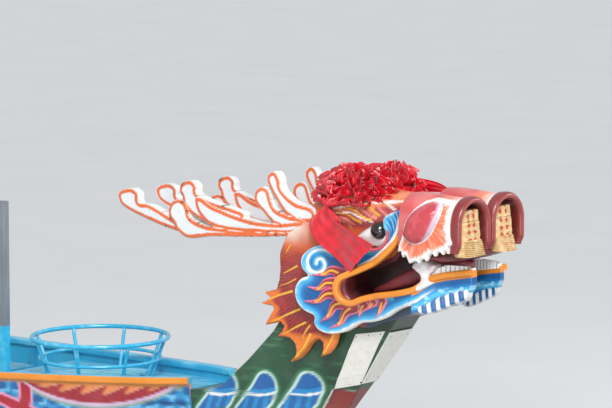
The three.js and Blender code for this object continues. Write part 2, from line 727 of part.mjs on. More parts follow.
// Paper bundle in each nostril: two stacked sheets above a folded fan.
const paper = join(
  box(EYE.x + 470, EYE.x + 560, -SNOUT_CENTRE_Y - 62, -SNOUT_CENTRE_Y + 60, EYE.z + 30, EYE.z + 120),
  box(EYE.x + 480, EYE.x + 580, -SNOUT_CENTRE_Y - 56, -SNOUT_CENTRE_Y + 58, EYE.z - 40, EYE.z + 40),
  box(EYE.x + 490, EYE.x + 600, -SNOUT_CENTRE_Y - 64, -SNOUT_CENTRE_Y + 60, EYE.z - 96, EYE.z - 30),
);
addPair('paper', fitAgainst(paper, solids.snout_starboard, solids.teeth_starboard, solids.tongue), 'paper');

// Mane: a comb of curled tines on each side that sweeps back from the crown. The starboard
// side has one more tine at its end.
// root, bend and tip of each tine as [x, z] from the eye, then its half width at the root and the tip.
const maneTines = [
  [[-1450, -100], [-1800, -70], [-1935, 45], 34, 50],
  [[-1040, -20], [-1400, -10], [-1458, 122], 48, 52],
  [[-950, -100], [-1430, -130], [-1535, 5], 26, 56],
  [[-600, -40], [-1130, -30], [-1352, 52], 32, 30],
  [[-600, -5], [-800, -10], [-872, 125], 32, 48],
  [[-520, 45], [-740, 90], [-792, 236], 40, 36],
];
const MANE_INNER = 140;
const MANE_OUTER = 215;
const maneBase = sideBoard(fromEye([[-510, -36], [-500, 60], [-600, 30], [-760, -20], [-1100, 0], [-1300, 0],
  [-1480, -60], [-1440, -150], [-1200, -128], [-800, -98], [-600, -70]]), MANE_INNER, MANE_OUTER);

function mane(tines) {
  const boards = tines.map(([root, bend, tip, rootHalf, tipHalf]) => {
    const [placedRoot, placedBend, placedTip] = fromEye([root, bend, tip]);
    return sideBoard(flame(placedRoot, placedBend, placedTip, rootHalf, tipHalf), MANE_INNER, MANE_OUTER);
  });
  return fitAgainst(join(maneBase, ...boards), solids.head_core, solids.fin_starboard);
}

addPart('mane_starboard', mane(maneTines), 'horn');
addPart('mane_port', mirrored(mane(maneTines.slice(1))), 'horn');

// Satin rosette on each side of the crown
const rosette = new THREE.SphereGeometry(1, 18, 10);
rosette.scale(255, 150, 118);
rosette.rotateY(THREE.MathUtils.degToRad(4));
rosette.translate(EYE.x - 190, -155.2, EYE.z + 250);
addPair('rosette', fitAgainst(rosette, solids.head_core, solids.mane_starboard, solids.snout_starboard), 'satin');

// Folded satin tail over the temple and the brow, and a short one on the port side
const ribbonStarboard = sideBoard(fromEye([[-470, 100], [-400, 150], [40, -80], [-130, -236]]), 268, 288);
addPart('ribbon_starboard', fitAgainst(ribbonStarboard, solids.cheek_starboard, solids.lip_starboard,
  solids.eye_starboard, solids.rosette_starboard, solids.mane_starboard, solids.fin_starboard), 'satin');
const ribbonPort = sideBoard(fromEye([[-60, 190], [-40, 330], [140, 270], [120, 200]]), 306, 322);
addPart('ribbon_port', fitAgainst(mirrored(ribbonPort), solids.rosette_port, solids.snout_port), 'satin');

// Blank plates: one on the front of the neck and one on each side of it, each a thin layer of
// the neck's own skin inside the plate's outline.
const PLATE_THICK = 7;

function plateOn(outline, x, y) {
  const skin = toSolid(neck.clone().translate(x, y, 0));
  return fitAgainst(toGeometry(toSolid(outline).intersect(skin)), neck);
}

const frontOutline = new THREE.Shape([[-104, 962], [104, 962], [66, 640], [-66, 640]]
  .map(([y, z]) => new THREE.Vector2(y, z)));
const frontBoard = new THREE.ExtrudeGeometry(frontOutline, { depth: 500, bevelEnabled: false });
frontBoard.rotateX(Math.PI / 2);
frontBoard.rotateZ(Math.PI / 2);
frontBoard.translate(6200, 0, 0);
addPart('plate_front', plateOn(frontBoard, PLATE_THICK * 1.3, 0), 'plate');
const platePoints = fromEye([[-225, -613], [-36, -580], [-250, -915], [-420, -955]]);
addPair('plate', plateOn(sideBoard(platePoints, 40, 220), 0, -PLATE_THICK), 'plate');

// Steering oar in its swivelling oarlock on an outrigger bracket at the port quarter
const gunwaleZ = sheer(OARLOCK.x) + GAP + RAIL_HEIGHT;
const bracketInner = halfBeam(OARLOCK.x) - 120;
addPart('oar_bracket', fitAgainst(join(
  box(OARLOCK.x - 60, OARLOCK.x + 60, bracketInner, OARLOCK.y + 45, gunwaleZ + GAP, gunwaleZ + 36),
  box(OARLOCK.x - 60, OARLOCK.x + 60, bracketInner, bracketInner + 40, gunwaleZ - 110, gunwaleZ + 20),
), solids.gunwale_port, solids.side_planks_port, solids.aftdeck), 'wood');

const LOCK_BASE_Z = gunwaleZ + 36 + 6;
const PIN_Z = LOCK_BASE_Z + 95;
const lock = new THREE.Group();
lock.position.set(OARLOCK.x, OARLOCK.y, 0);
boat.add(lock);
addPart('oarlock', join(
  box(-32, 32, -48, 48, LOCK_BASE_Z, LOCK_BASE_Z + 16),
  box(-26, 26, -48, -38, LOCK_BASE_Z + 8, PIN_Z + 30),
  box(-26, 26, 38, 48, LOCK_BASE_Z + 8, PIN_Z + 30),
  straightBar(new THREE.Vector3(0, -44, PIN_Z), new THREE.Vector3(0, 44, PIN_Z), 7, 10),
), 'steel', lock);

const OAR_PITCH = THREE.MathUtils.degToRad(-27);
const OAR_SHAFT = 24;
const HANDLE_LENGTH = 1150;
const BLADE_START = 1150;
const BLADE_END = 2050;
const oar = new THREE.Group();
oar.position.set(0, 0, PIN_Z);
oar.rotation.y = OAR_PITCH;
lock.add(oar);
const shaft = straightBar(new THREE.Vector3(HANDLE_LENGTH, 0, 0), new THREE.Vector3(-BLADE_START - 60, 0, 0), OAR_SHAFT, 12);
const grip = straightBar(new THREE.Vector3(HANDLE_LENGTH - 40, -120, 0), new THREE.Vector3(HANDLE_LENGTH - 40, 120, 0), 17, 10);
const bladeOutline = [[-BLADE_START, 28], [-BLADE_START - 220, 105], [-BLADE_END + 40, 120], [-BLADE_END, 100],
  [-BLADE_END, -100], [-BLADE_END + 40, -120], [-BLADE_START - 220, -105], [-BLADE_START, -28]];
const blade = sideBoard(bladeOutline, -11, 11);
const eyeHole = straightBar(new THREE.Vector3(0, -60, 0), new THREE.Vector3(0, 60, 0), 9, 10);
addPart('steering_oar', cut(join(shaft, grip, blade), eyeHole), 'wood', oar);

export default boat;
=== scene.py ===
import math

import bpy
import numpy as np
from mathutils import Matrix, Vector


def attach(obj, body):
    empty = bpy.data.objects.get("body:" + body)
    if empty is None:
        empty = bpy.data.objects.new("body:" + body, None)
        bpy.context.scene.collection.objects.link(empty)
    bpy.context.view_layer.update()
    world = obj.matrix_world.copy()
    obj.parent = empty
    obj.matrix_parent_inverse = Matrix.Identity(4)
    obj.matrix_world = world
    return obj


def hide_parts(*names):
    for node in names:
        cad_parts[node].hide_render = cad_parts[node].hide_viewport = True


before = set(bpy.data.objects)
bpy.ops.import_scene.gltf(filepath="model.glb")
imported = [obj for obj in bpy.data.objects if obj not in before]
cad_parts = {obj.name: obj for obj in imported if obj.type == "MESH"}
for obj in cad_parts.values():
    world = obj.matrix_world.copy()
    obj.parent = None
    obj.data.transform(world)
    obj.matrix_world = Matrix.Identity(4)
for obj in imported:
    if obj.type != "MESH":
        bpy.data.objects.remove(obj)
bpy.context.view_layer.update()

SIDES = {"starboard": -1.0, "port": 1.0}
EYE_X, EYE_Z = 6.55, 1.55
CORE_HALF = 0.19


# Colours

def rgb(red, green, blue):
    """A colour given on the 0 to 255 screen scale, turned into light values."""
    screen = np.array([red, green, blue]) / 255.0
    return np.where(screen <= 0.04045, screen / 12.92, ((screen + 0.055) / 1.055) ** 2.4)


DEEP_BLUE = rgb(0, 88, 152)
MID_BLUE = rgb(4, 120, 186)
LIGHT_BLUE = rgb(70, 176, 222)
PALE_BLUE = rgb(176, 220, 238)
LIP_ORANGE = rgb(226, 138, 34)
FIN_MAROON = rgb(158, 42, 40)
FIN_ORANGE = rgb(226, 112, 34)
YELLOW = rgb(232, 176, 40)
FLAME_PINK = rgb(240, 122, 146)
FLAME_RED = rgb(150, 34, 46)
TEMPLE_ORANGE = rgb(206, 92, 36)
WHITE = rgb(236, 234, 228)
HORN_ORANGE = rgb(226, 104, 44)
RIM_MAROON = rgb(130, 36, 36)
BULGE_RED = rgb(196, 62, 72)
LAVENDER = rgb(226, 214, 232)
FUR_ORANGE = rgb(238, 122, 84)
MOUTH_DARK = rgb(70, 14, 18)
TONGUE_RED = rgb(122, 32, 42)
NECK_GREEN = rgb(22, 74, 44)
STEM_BROWN = rgb(132, 40, 32)
CYAN = rgb(44, 172, 212)
PAPER_TAN = rgb(208, 176, 124)
PLATE_WHITE = rgb(216, 214, 206)
BLACK = rgb(10, 10, 12)


# Number fields on arrays of points

def ramp(value, low, high):
    """0 below low, 1 above high, with a smooth cubic step between."""
    t = np.clip((value - low) / (high - low), 0.0, 1.0)
    return t * t * (3.0 - 2.0 * t)


def fade(value, low, high):
    """1 below low, 0 above high, with the same step between."""
    return 1.0 - ramp(value, low, high)


def rounded(depth, radius):
    """A quarter circle of the distance in from an edge: 0 on the edge, 1 a radius inward."""
    return np.sqrt(np.clip(1.0 - (1.0 - np.clip(depth / radius, 0, 1)) ** 2, 0, 1))


def tint(base, colour, amount):
    """Each point's colour moved toward another, which is one colour or one for each point."""
    return base + (colour - base) * np.clip(amount, 0.0, 1.0)[..., None]


def pairs(x, z):
    """Points of the fore-and-aft plane, one row each."""
    return np.stack([x, z], axis=1)


def plain(colour, count):
    return np.tile(colour, (count, 1))


def hash_noise(points, scale, seed=0):
    """Smooth value noise: each lattice corner has a hashed height, blended by the cubic step."""
    p = np.asarray(points) * scale + 17.0 * seed
    cell = np.floor(p).astype(np.int64)
    f = p - cell
    f = f * f * (3.0 - 2.0 * f)
    total = 0.0
    corners = np.array(np.meshgrid(*[[0, 1]] * p.shape[-1], indexing="ij")).reshape(p.shape[-1], -1).T
    primes = np.array([73856093, 19349663, 83492791])[: p.shape[-1]]
    for corner in corners:
        key = ((cell + corner) * primes).sum(-1) + seed * 2654435
        key = (key ^ (key >> 13)) * 1274126177
        height = ((key ^ (key >> 16)) & 0xFFFF) / 65535.0
        weight = np.prod(np.where(corner == 1, f, 1.0 - f), axis=-1)
        total = total + height * weight
    return total


def smooth_path(points, count, closed=False):
    """A Catmull-Rom curve through given points, sampled at even steps of its parameter."""
    p = np.asarray(points, float)
    if closed:
        p = np.concatenate([p[-1:], p, p[:2]])
    else:
        p = np.concatenate([2 * p[:1] - p[1:2], p, 2 * p[-1:] - p[-2:-1]])
    spans = len(p) - 3
    s = np.linspace(0.0, spans, count, endpoint=not closed)
    i = np.minimum(s.astype(int), spans - 1)
    t = (s - i)[:, None]
    a, b, c, d = p[i], p[i + 1], p[i + 2], p[i + 3]
    return 0.5 * (2 * b + (c - a) * t + (2 * a - 5 * b + 4 * c - d) * t ** 2 + (3 * b - a - 3 * c + d) * t ** 3)


def path_field(points, path, half_widths=None):
    """For each point the distance to a polyline less the polyline's half width there, and how
    far along the polyline (0 to 1) the nearest place is."""
    best = np.full(len(points), np.inf)
    along = np.zeros(len(points))
    widths = np.zeros(len(path)) if half_widths is None else np.broadcast_to(half_widths, (len(path),))
    for k in range(len(path) - 1):
        a, b = path[k], path[k + 1]
        ab = b - a
        t = np.clip(((points - a) @ ab) / max(ab @ ab, 1e-12), 0.0, 1.0)
        half = widths[k] + t * (widths[k + 1] - widths[k])
        gap = np.linalg.norm(points - a - t[:, None] * ab, axis=1) - half
        nearer = gap < best
        best = np.where(nearer, gap, best)
        along = np.where(nearer, (k + t) / (len(path) - 1), along)
    return best, along


def inside_field(points, outline):
    """Distance to a closed outline, positive inside and negative outside (even-odd rule)."""
    loop = np.concatenate([outline, outline[:1]])
    gap, _ = path_field(points, loop)
    x, z = points.T
    inside = np.zeros(len(points), bool)
    for (x0, z0), (x1, z1) in zip(loop[:-1], loop[1:]):
        if z0 != z1:
            crosses = (z0 > z) != (z1 > z)
            inside ^= crosses & (x < (x1 - x0) * (z - z0) / (z1 - z0) + x0)
    return np.where(inside, gap, -gap)


def stroke_field(points, strokes):
    """Union of tapered brush strokes, positive inside. Each stroke is a path and its half
    widths from root to tip. Also gives how far along its own stroke each point is."""
    best = np.full(len(points), -np.inf)
    along = np.zeros(len(points))
    for path, widths in strokes:
        gap, t = path_field(points, path, widths)
        nearer = -gap > best
        best = np.where(nearer, -gap, best)
        along = np.where(nearer, t, along)
    return best, along


def stroke(points, root_half, tip_half, count=14, power=1.0):
    """A curved stroke through given points whose half width runs from root to tip."""
    t = np.linspace(0.0, 1.0, count)
    return smooth_path(points, count), root_half + (tip_half - root_half) * t ** power


# Meshes

def make_mesh(name, vertices, faces, paint=None, sharp_degrees=40.0):
    mesh = bpy.data.meshes.new(name)
    mesh.from_pydata(np.asarray(vertices).tolist(), [], [list(map(int, f)) for f in faces])
    mesh.validate()
    mesh.shade_smooth()
    mesh.set_sharp_from_angle(angle=math.radians(sharp_degrees))
    if paint is not None:
        colours = np.ones((len(mesh.vertices), 4), dtype=np.float32)
        colours[:, :3] = paint
        layer = mesh.attributes.new("paint", "FLOAT_COLOR", "POINT")
        layer.data.foreach_set("color", colours.ravel())
    obj = bpy.data.objects.new(name, mesh)
    bpy.context.scene.collection.objects.link(obj)
    return obj


def place(obj, finish, body="boat", replaced=()):
    """Gives a piece its finish, parents it to the body it rides on and hides the model's parts that it stands
    for.
    """
    obj.data.materials.clear()
    obj.data.materials.append(finish)
    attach(obj, body)
    if replaced:
        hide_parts(*replaced)
    return obj


def grid_faces(rows, columns, wrap_rows=False, wrap_columns=False):
    """Quads between neighbours of a rows by columns grid of vertices."""
    r = np.arange(rows if wrap_rows else rows - 1)
    c = np.arange(columns if wrap_columns else columns - 1)
    i, j = np.meshgrid(r, c, indexing="ij")
    i2, j2 = (i + 1) % rows, (j + 1) % columns
    quads = np.stack([i * columns + j, i * columns + j2, i2 * columns + j2, i2 * columns + j], axis=-1)
    return quads.reshape(-1, 4)


def tube_mesh(rings, closed_path=False, one_face_ends=False):
    """Skin over rings of points (path steps by ring points by 3), with flat ends where the path
    is open: fans, or one face each for a bent section. Faces are turned outward by the sign of
    the enclosed volume."""
    steps, around, _ = rings.shape
    vertices = rings.reshape(-1, 3)
    faces = [list(f) for f in grid_faces(steps, around, wrap_rows=closed_path, wrap_columns=True)]
    if one_face_ends:
        faces += [list(range(around - 1, -1, -1)), list(range(len(vertices) - around, len(vertices)))]
    elif not closed_path:
        ends = np.array([rings[0].mean(0), rings[-1].mean(0)])
        first, last = len(vertices), len(vertices) + 1
        vertices = np.concatenate([vertices, ends])
        base = (steps - 1) * around
        for k in range(around):
            n = (k + 1) % around
            faces.append([first, n, k])
            faces.append([last, base + k, base + n])
    return vertices, outward(vertices, faces)


def quad_area(points, quads):
    """Area of all quads together, each as two triangles."""
    a, b, c, d = (points[quads[:, n]] for n in range(4))
    halves = np.linalg.norm(np.cross(b - a, c - a), axis=1) + np.linalg.norm(np.cross(c - a, d - a), axis=1)
    return 0.5 * halves.sum()


def outward(vertices, faces):
    """The same faces, all reversed if together they enclose a negative volume."""
    fan = np.array([[f[0], f[i], f[i + 1]] for f in faces for i in range(1, len(f) - 1)])
    a, b, c = vertices[fan[:, 0]], vertices[fan[:, 1]], vertices[fan[:, 2]]
    volume = np.einsum("ij,ij->i", a, np.cross(b, c)).sum()
    return faces if volume > 0 else [f[::-1] for f in faces]


def sweep(path, section, scales=None, up=(0.0, 0.0, 1.0), closed=False):
    """A section (points by 2: across, upward) carried along a path. The frame at each step is
    the path's direction, the level sideways direction and their cross product."""
    path = np.asarray(path, float)
    forward = np.gradient(path, axis=0)
    if closed:
        forward = np.roll(path, -1, axis=0) - np.roll(path, 1, axis=0)
    forward /= np.linalg.norm(forward, axis=1, keepdims=True)
    sideways = np.cross(forward, np.asarray(up, float))
    sideways /= np.linalg.norm(sideways, axis=1, keepdims=True)
    upward = np.cross(sideways, forward)
    scales = np.ones(len(path)) if scales is None else np.asarray(scales)
    section = np.asarray(section, float)
    across = scales[:, None, None] * section[None, :, 0, None] * sideways[:, None, :]
    rise = scales[:, None, None] * section[None, :, 1, None] * upward[:, None, :]
    return path[:, None, :] + across + rise


def round_section(radius_across, radius_up, count=12):
    turn = np.linspace(0.0, 2 * math.pi, count, endpoint=False)
    return np.stack([radius_across * np.cos(turn), radius_up * np.sin(turn)], axis=1)


def soft_box_section(half_across, half_up, corner, per_corner=3):
    """A rectangle with rounded corners, as one loop of points."""
    turns = np.linspace(0.0, math.pi / 2, per_corner + 1)
    loop = []
    for k, (sx, sz) in enumerate([(1, 1), (-1, 1), (-1, -1), (1, -1)]):
        centre = np.array([sx * (half_across - corner), sz * (half_up - corner)])
        angle = turns + k * math.pi / 2
        loop.append(centre + corner * np.stack([np.cos(angle), np.sin(angle)], axis=1))
    return np.concatenate(loop)


def trimmed_grid(field, low, high, spacing):
    """The cells of a square grid over [low, high] that lie inside a signed field. Border
    vertices are moved onto the field's zero line down its own slope, in three small steps."""
    xs = np.arange(low[0] - spacing, high[0] + spacing, spacing)
    zs = np.arange(low[1] - spacing, high[1] + spacing, spacing)
    gx, gz = np.meshgrid(xs, zs, indexing="ij")
    points = np.stack([gx.ravel(), gz.ravel()], axis=1)
    value = field(points)
    keep = (value > -0.45 * spacing).reshape(gx.shape)
    cell = keep[:-1, :-1] & keep[1:, :-1] & keep[1:, 1:] & keep[:-1, 1:]
    i, j = np.nonzero(cell)
    n = len(zs)
    quads = np.stack([i * n + j, (i + 1) * n + j, (i + 1) * n + j + 1, i * n + j + 1], axis=1)
    used, packed = np.unique(quads, return_inverse=True)
    quads = packed.reshape(-1, 4)
    points = points[used]
    border = border_edges(quads)
    rim = np.unique(border)
    moved = points[rim]
    step = spacing * 0.1
    for _ in range(3):
        here = field(moved)
        slope = np.stack([
            field(moved + [step, 0.0]) - field(moved - [step, 0.0]),
            field(moved + [0.0, step]) - field(moved - [0.0, step]),
        ], axis=1) / (2 * step)
        strength = np.maximum((slope ** 2).sum(1), 0.25)
        shift = -here[:, None] * slope / strength[:, None]
        moved = moved + np.clip(shift, -0.7 * spacing, 0.7 * spacing)
    points[rim] = moved
    return points, quads, border


def border_edges(quads):
    """Directed edges that only one quad uses."""
    edges = np.concatenate([quads[:, [k, (k + 1) % 4]] for k in range(4)])
    ordered = np.sort(edges, axis=1)
    _, first, counts = np.unique(ordered, axis=0, return_index=True, return_counts=True)
    return edges[first[counts == 1]]


def rim_order(border):
    """The border's vertices in order round it, or nothing where it is more than one loop."""
    after = dict(border.tolist())
    loop = [int(border[0, 0])]
    while after[loop[-1]] != loop[0] and len(loop) <= len(border):
        loop.append(after[loop[-1]])
    return loop if len(loop) == len(border) == len(after) else None


def board_pair(name, region, low, high, spacing, front, back, colour, finish, replaced=(), sharp=45.0,
               inside=None):
    """Carved boards in the fore-and-aft plane, one on each side. region is the outline's points,
    or a field that is positive inside it. front and back give each point's distance off the
    centre plane, as a number or a function, and colour its paint; each function takes x, z and
    the distance in from the outline. All in metres from the eye. A back that lies in one plane
    is one many-sided face."""
    field = region if callable(region) else lambda p: inside_field(p, region)
    points, quads, border = trimmed_grid(field, low, high, spacing)
    x, z = points.T
    depth = np.maximum(field(points), 0.0)
    outer, inner = (face(x, z, depth) if callable(face) else np.full_like(x, face) for face in (front, back))
    paint = colour(x, z, depth)
    count = len(points)
    loop = rim_order(border) if np.ptp(inner) == 0.0 else None
    if loop is None:
        behind = np.arange(count)
        backs = (quads[:, ::-1] + count).tolist()
    else:
        behind = np.array(loop)
        backs = [list(range(count + len(loop) - 1, count - 1, -1))]
    far_index = np.zeros(count, int)
    far_index[behind] = count + np.arange(len(behind))
    walls = np.concatenate([border[:, ::-1], far_index[border]], axis=1)
    faces = quads.tolist() + backs + walls.tolist()
    for side, sign in SIDES.items():
        near = np.stack([x + EYE_X, sign * outer, z + EYE_Z], axis=1)
        far = np.stack([x + EYE_X, sign * inner, z + EYE_Z], axis=1)[behind]
        vertices = np.concatenate([near, far])
        hidden = paint[behind] if inside is None else plain(inside, len(behind))
        obj = make_mesh(f"{name}_{side}", vertices, outward(vertices, faces),
                        np.concatenate([paint, hidden]), sharp)
        place(obj, finish, replaced=[f"{node}_{side}" for node in replaced])


# Finishes

class Term:
    """A socket in a material. Arithmetic on it adds Math nodes."""

    def __init__(self, finish, socket):
        self.finish, self.socket = finish, socket

    def maths(self, operation, *values):
        return self.finish.node("ShaderNodeMath", {"operation": operation}, *values)

    def __add__(self, other):
        return self.maths("ADD", self, other)

    __radd__ = __add__

    def __mul__(self, other):
        return self.maths("MULTIPLY", self, other)

    __rmul__ = __mul__

    def __sub__(self, other):
        return self.maths("SUBTRACT", self, other)

    def __rsub__(self, other):
        return self.maths("SUBTRACT", other, self)

    def __truediv__(self, other):
        return self.maths("DIVIDE", self, other)

    def above(self, edge, soft):
        """0 to 1 across a soft step at an edge."""
        scaled = (self - edge) / soft + 0.5
        return self.finish.node("ShaderNodeMath", {"operation": "ADD", "use_clamp": True}, scaled, 0.0)


class Finish:
    """A material built from a Principled shader and the nodes added to it."""

    def __init__(self, name, **constants):
        self.material = bpy.data.materials.new(name)
        self.material.use_nodes = True
        self.tree = self.material.node_tree
        self.shader = self.tree.nodes["Principled BSDF"]
        for socket, value in constants.items():
            self.shader.inputs[socket.replace("_", " ")].default_value = value

    def put(self, socket, value):
        if isinstance(value, Term):
            self.tree.links.new(value.socket, socket)
        elif np.ndim(value) == 1 and len(value) == 3 and socket.type == "RGBA":
            socket.default_value = (*[float(v) for v in value], 1.0)
        else:
            socket.default_value = value

    def node(self, kind, settings=None, *values, out=0, **named):
        made = self.tree.nodes.new(kind)
        for key, value in (settings or {}).items():
            setattr(made, key, value)
        for socket, value in zip(made.inputs, values):
            self.put(socket, value)
        for key, value in named.items():
            self.put(made.inputs[key.replace("_", " ")], value)
        return Term(self, made.outputs[out])

    def feed(self, socket, value):
        self.put(self.shader.inputs[socket], value)

    def object_place(self):
        return self.node("ShaderNodeTexCoord", out=3)

    def stretched(self, scale):
        return self.node("ShaderNodeVectorMath", {"operation": "MULTIPLY"}, self.object_place(), scale)

    def part_of(self, vector, axis):
        return self.node("ShaderNodeSeparateXYZ", None, vector, out="XYZ".index(axis))

    def noise(self, scale, detail=3.0, rough=0.55, vector=None):
        return self.node("ShaderNodeTexNoise", None, Vector=vector or self.object_place(), Scale=scale,
                         Detail=detail, Roughness=rough)

    def mix(self, first, second, amount):
        made = self.tree.nodes.new("ShaderNodeMix")
        made.data_type = "RGBA"
        self.put(made.inputs[0], amount)
        self.put(made.inputs[6], first)
        self.put(made.inputs[7], second)
        return Term(self, made.outputs[2])

    def bump(self, height, strength, distance):
        return self.node("ShaderNodeBump", None, Strength=strength, Distance=distance, Height=height)


def brushed_paint(name, colour=None, gloss=0.34, chips=0.5, streak=(6.0, 6.0, 6.0), grime=0.35, relief=0.0012):
    """Hand-brushed gloss paint on wood: the paint attribute or one colour, mottled by broad
    noise, streaked by the brush, chipped down to pale undercoat in specks and dulled by grime."""
    f = Finish(name, Coat_Weight=0.25, Coat_Roughness=0.2, Specular_IOR_Level=0.5)
    if colour is None:
        base = f.node("ShaderNodeAttribute", {"attribute_name": "paint"})
    else:
        base = f.mix(colour, colour, 0.0)
    broad = f.noise(5.0, 4.0)
    brush = f.noise(38.0, 4.0, 0.6, f.stretched(streak))
    shade = (broad - 0.5) * 0.5 + (brush - 0.5) * 0.55
    darker = f.mix(base, (0.02, 0.018, 0.016), (0.0 - shade).above(0.16, 0.5) * grime)
    lighter = f.mix(darker, (1.0, 0.97, 0.92), shade.above(0.2, 0.5) * 0.09)
    speck = f.noise(95.0, 2.0, 0.7)
    chip = speck.above(0.735, 0.03) * broad.above(0.5, 0.2) * chips
    stain = f.noise(22.0, 5.0, 0.7)
    dirty = f.mix(lighter, (0.05, 0.04, 0.03), stain.above(0.66, 0.14) * grime * 0.7)
    f.feed("Base Color", f.mix(dirty, (0.75, 0.72, 0.66), chip))
    f.feed("Roughness", gloss + (broad - 0.5) * 0.2 + (brush - 0.5) * 0.2 + chip * 0.3)
    height = brush * 0.6 + f.noise(160.0, 2.0) * 0.25 - chip * 0.8
    f.feed("Normal", f.bump(height, 0.35, relief))
    return f.material


CARVING_PAINT = brushed_paint("brushed_carving_paint")


# Camera, floor and light

IMAGE_WIDTH, IMAGE_HEIGHT = 612, 408
SENSOR_MM, LENS_MM = 36.0, 176.0
VIEW_AZIMUTH, VIEW_ELEVATION = math.radians(40.0), math.radians(6.5)
EYE_PIXEL = (379.5, 230.7)
PIXELS_PER_METRE = 180.0
EYE_OUT = 0.22


def add_camera():
    """The camera looks along a line set by azimuth and elevation. It stands where the eye of
    the dragon falls on its pixel at the stated scale."""
    focal = IMAGE_WIDTH * LENS_MM / SENSOR_MM
    back = Vector((math.sin(VIEW_AZIMUTH) * math.cos(VIEW_ELEVATION),
                   -math.cos(VIEW_AZIMUTH) * math.cos(VIEW_ELEVATION), math.sin(VIEW_ELEVATION)))
    forward = -back
    right = forward.cross(Vector((0, 0, 1))).normalized()
    up = right.cross(forward)
    ray = (forward + right * (EYE_PIXEL[0] - IMAGE_WIDTH / 2) / focal
           - up * (EYE_PIXEL[1] - IMAGE_HEIGHT / 2) / focal)
    data = bpy.data.cameras.new("camera")
    data.sensor_width, data.lens, data.clip_end = SENSOR_MM, LENS_MM, 400.0
    camera = bpy.data.objects.new("camera", data)
    camera.location = Vector((EYE_X, -EYE_OUT, EYE_Z)) - ray * (focal / PIXELS_PER_METRE)
    camera.rotation_euler = forward.to_track_quat("-Z", "Y").to_euler()
    bpy.context.scene.collection.objects.link(camera)
    bpy.context.scene.camera = camera


BOW_REACH, STERN_REACH = 5.87, 6.36
HULL_AFT, HULL_FORE = -5.4, 5.1
HALF_BEAM = 0.8
BOW_END_HALF, STERN_END_HALF = 0.118, 0.123


def reach(x):
    return np.abs(x) / np.where(np.asarray(x) > 0, BOW_REACH, STERN_REACH)


def half_beam(x):
    """The half beam falls off with a power of the distance from amidships."""
    return HALF_BEAM * (1.0 - reach(x) ** 2.4)


def sheer(x):
    return 0.38 + np.where(np.asarray(x) > 0, 0.19, 0.26) * reach(x) ** 2.2


def hull_bottom(x):
    return -0.23 + 0.13 * reach(x) ** 4


def side_profile(x):
    """Outer corners of the planking at stations x, from the bottom edge up to the sheer: an
    array of stations by 4 corners by (half breadth, height)."""
    half, low = half_beam(x), hull_bottom(x)
    rise = sheer(x) - low
    return np.stack([
        np.stack([0.56 * half, low], -1), np.stack([0.86 * half, low + 0.2 * rise], -1),
        np.stack([0.97 * half, low + 0.55 * rise], -1), np.stack([half, sheer(x)], -1)], axis=-2)


def half_at_waterline(x):
    corners = side_profile(x)
    y, z = corners[..., 0], corners[..., 1]
    return np.array([np.interp(0.0, zz, yy) for yy, zz in zip(y, z)])


def add_floor():
    """A pale level floor at the waterline with a hole of the hull's own outline there."""
    x = np.linspace(-5.395, 5.095, 60)
    half = half_at_waterline(x)
    half = half + (np.minimum(BOW_END_HALF + 0.004, half) - half) * ramp(x, 4.7, 5.1)
    half = half + (np.minimum(STERN_END_HALF + 0.004, half) - half) * ramp(-x, 5.0, 5.4) - 0.012
    bow = np.array([[5.2, 0.104], [5.35, 0.096], [5.83, 0.008]])
    stern = np.array([[-5.7, 0.01], [-5.5, 0.084], [-5.41, 0.104]])
    side = np.concatenate([stern, np.stack([x, half], 1), bow])
    loop = np.concatenate([side, side[::-1] * [1, -1]])
    turn = np.arctan2(loop[:, 1] * 6.0, loop[:, 0])
    reach_out = np.stack([np.cos(turn), np.sin(turn)], 1) * 160.0
    rings = [loop * (1 - t) + reach_out * t for t in (0.0, 0.004, 0.03, 0.2, 1.0)]
    points = np.concatenate(rings)
    vertices = np.concatenate([points, np.zeros((len(points), 1))], axis=1)
    faces = [f[::-1] for f in grid_faces(len(rings), len(loop), wrap_columns=True).tolist()]
    floor = make_mesh("floor", vertices, faces)
    f = Finish("pale_floor", Roughness=0.75)
    shade = f.noise(0.8, 3.0)
    f.feed("Base Color", f.mix(rgb(198, 200, 200), rgb(208, 209, 208), shade))
    floor.data.materials.append(f.material)


def add_light():
    world = bpy.data.worlds.new("studio")
    world.use_nodes = True
    world.node_tree.nodes["Background"].inputs[0].default_value = (0.9, 0.94, 1.0, 1.0)
    world.node_tree.nodes["Background"].inputs[1].default_value = 0.62
    bpy.context.scene.world = world
    # kind, place, aim, softness, strength
    lamps = [
        ("SUN", (9.0, -9.0, 12.0), (0.0, 0.0, 0.0), 0.3, 2.3),
        ("AREA", (11.0, -7.0, 6.5), (6.4, 0.0, 1.4), 2.2, 210.0),
        ("AREA", (10.0, 5.0, 4.0), (6.6, 0.0, 1.5), 2.5, 90.0),
        ("AREA", (12.5, -7.0, 1.6), (6.8, 0.0, 1.4), 2.4, 150.0),
    ]
    for k, (kind, position, aim, softness, strength) in enumerate(lamps):
        data = bpy.data.lights.new(f"lamp_{k}", kind)
        data.energy = strength
        if kind == "SUN":
            data.angle = softness
        else:
            data.size, data.shape = softness, "DISK"
        lamp = bpy.data.objects.new(f"lamp_{k}", data)
        lamp.location = position
        lamp.rotation_euler = (Vector(aim) - Vector(position)).to_track_quat("-Z", "Y").to_euler()
        bpy.context.scene.collection.objects.link(lamp)


bpy.context.scene.view_settings.view_transform = "Standard"
add_camera()
add_floor()
add_light()


# Skull: two halves that meet on the centre plane, rounded over at the crown, with the brow's
# strokes carved in and the mouth painted dark.

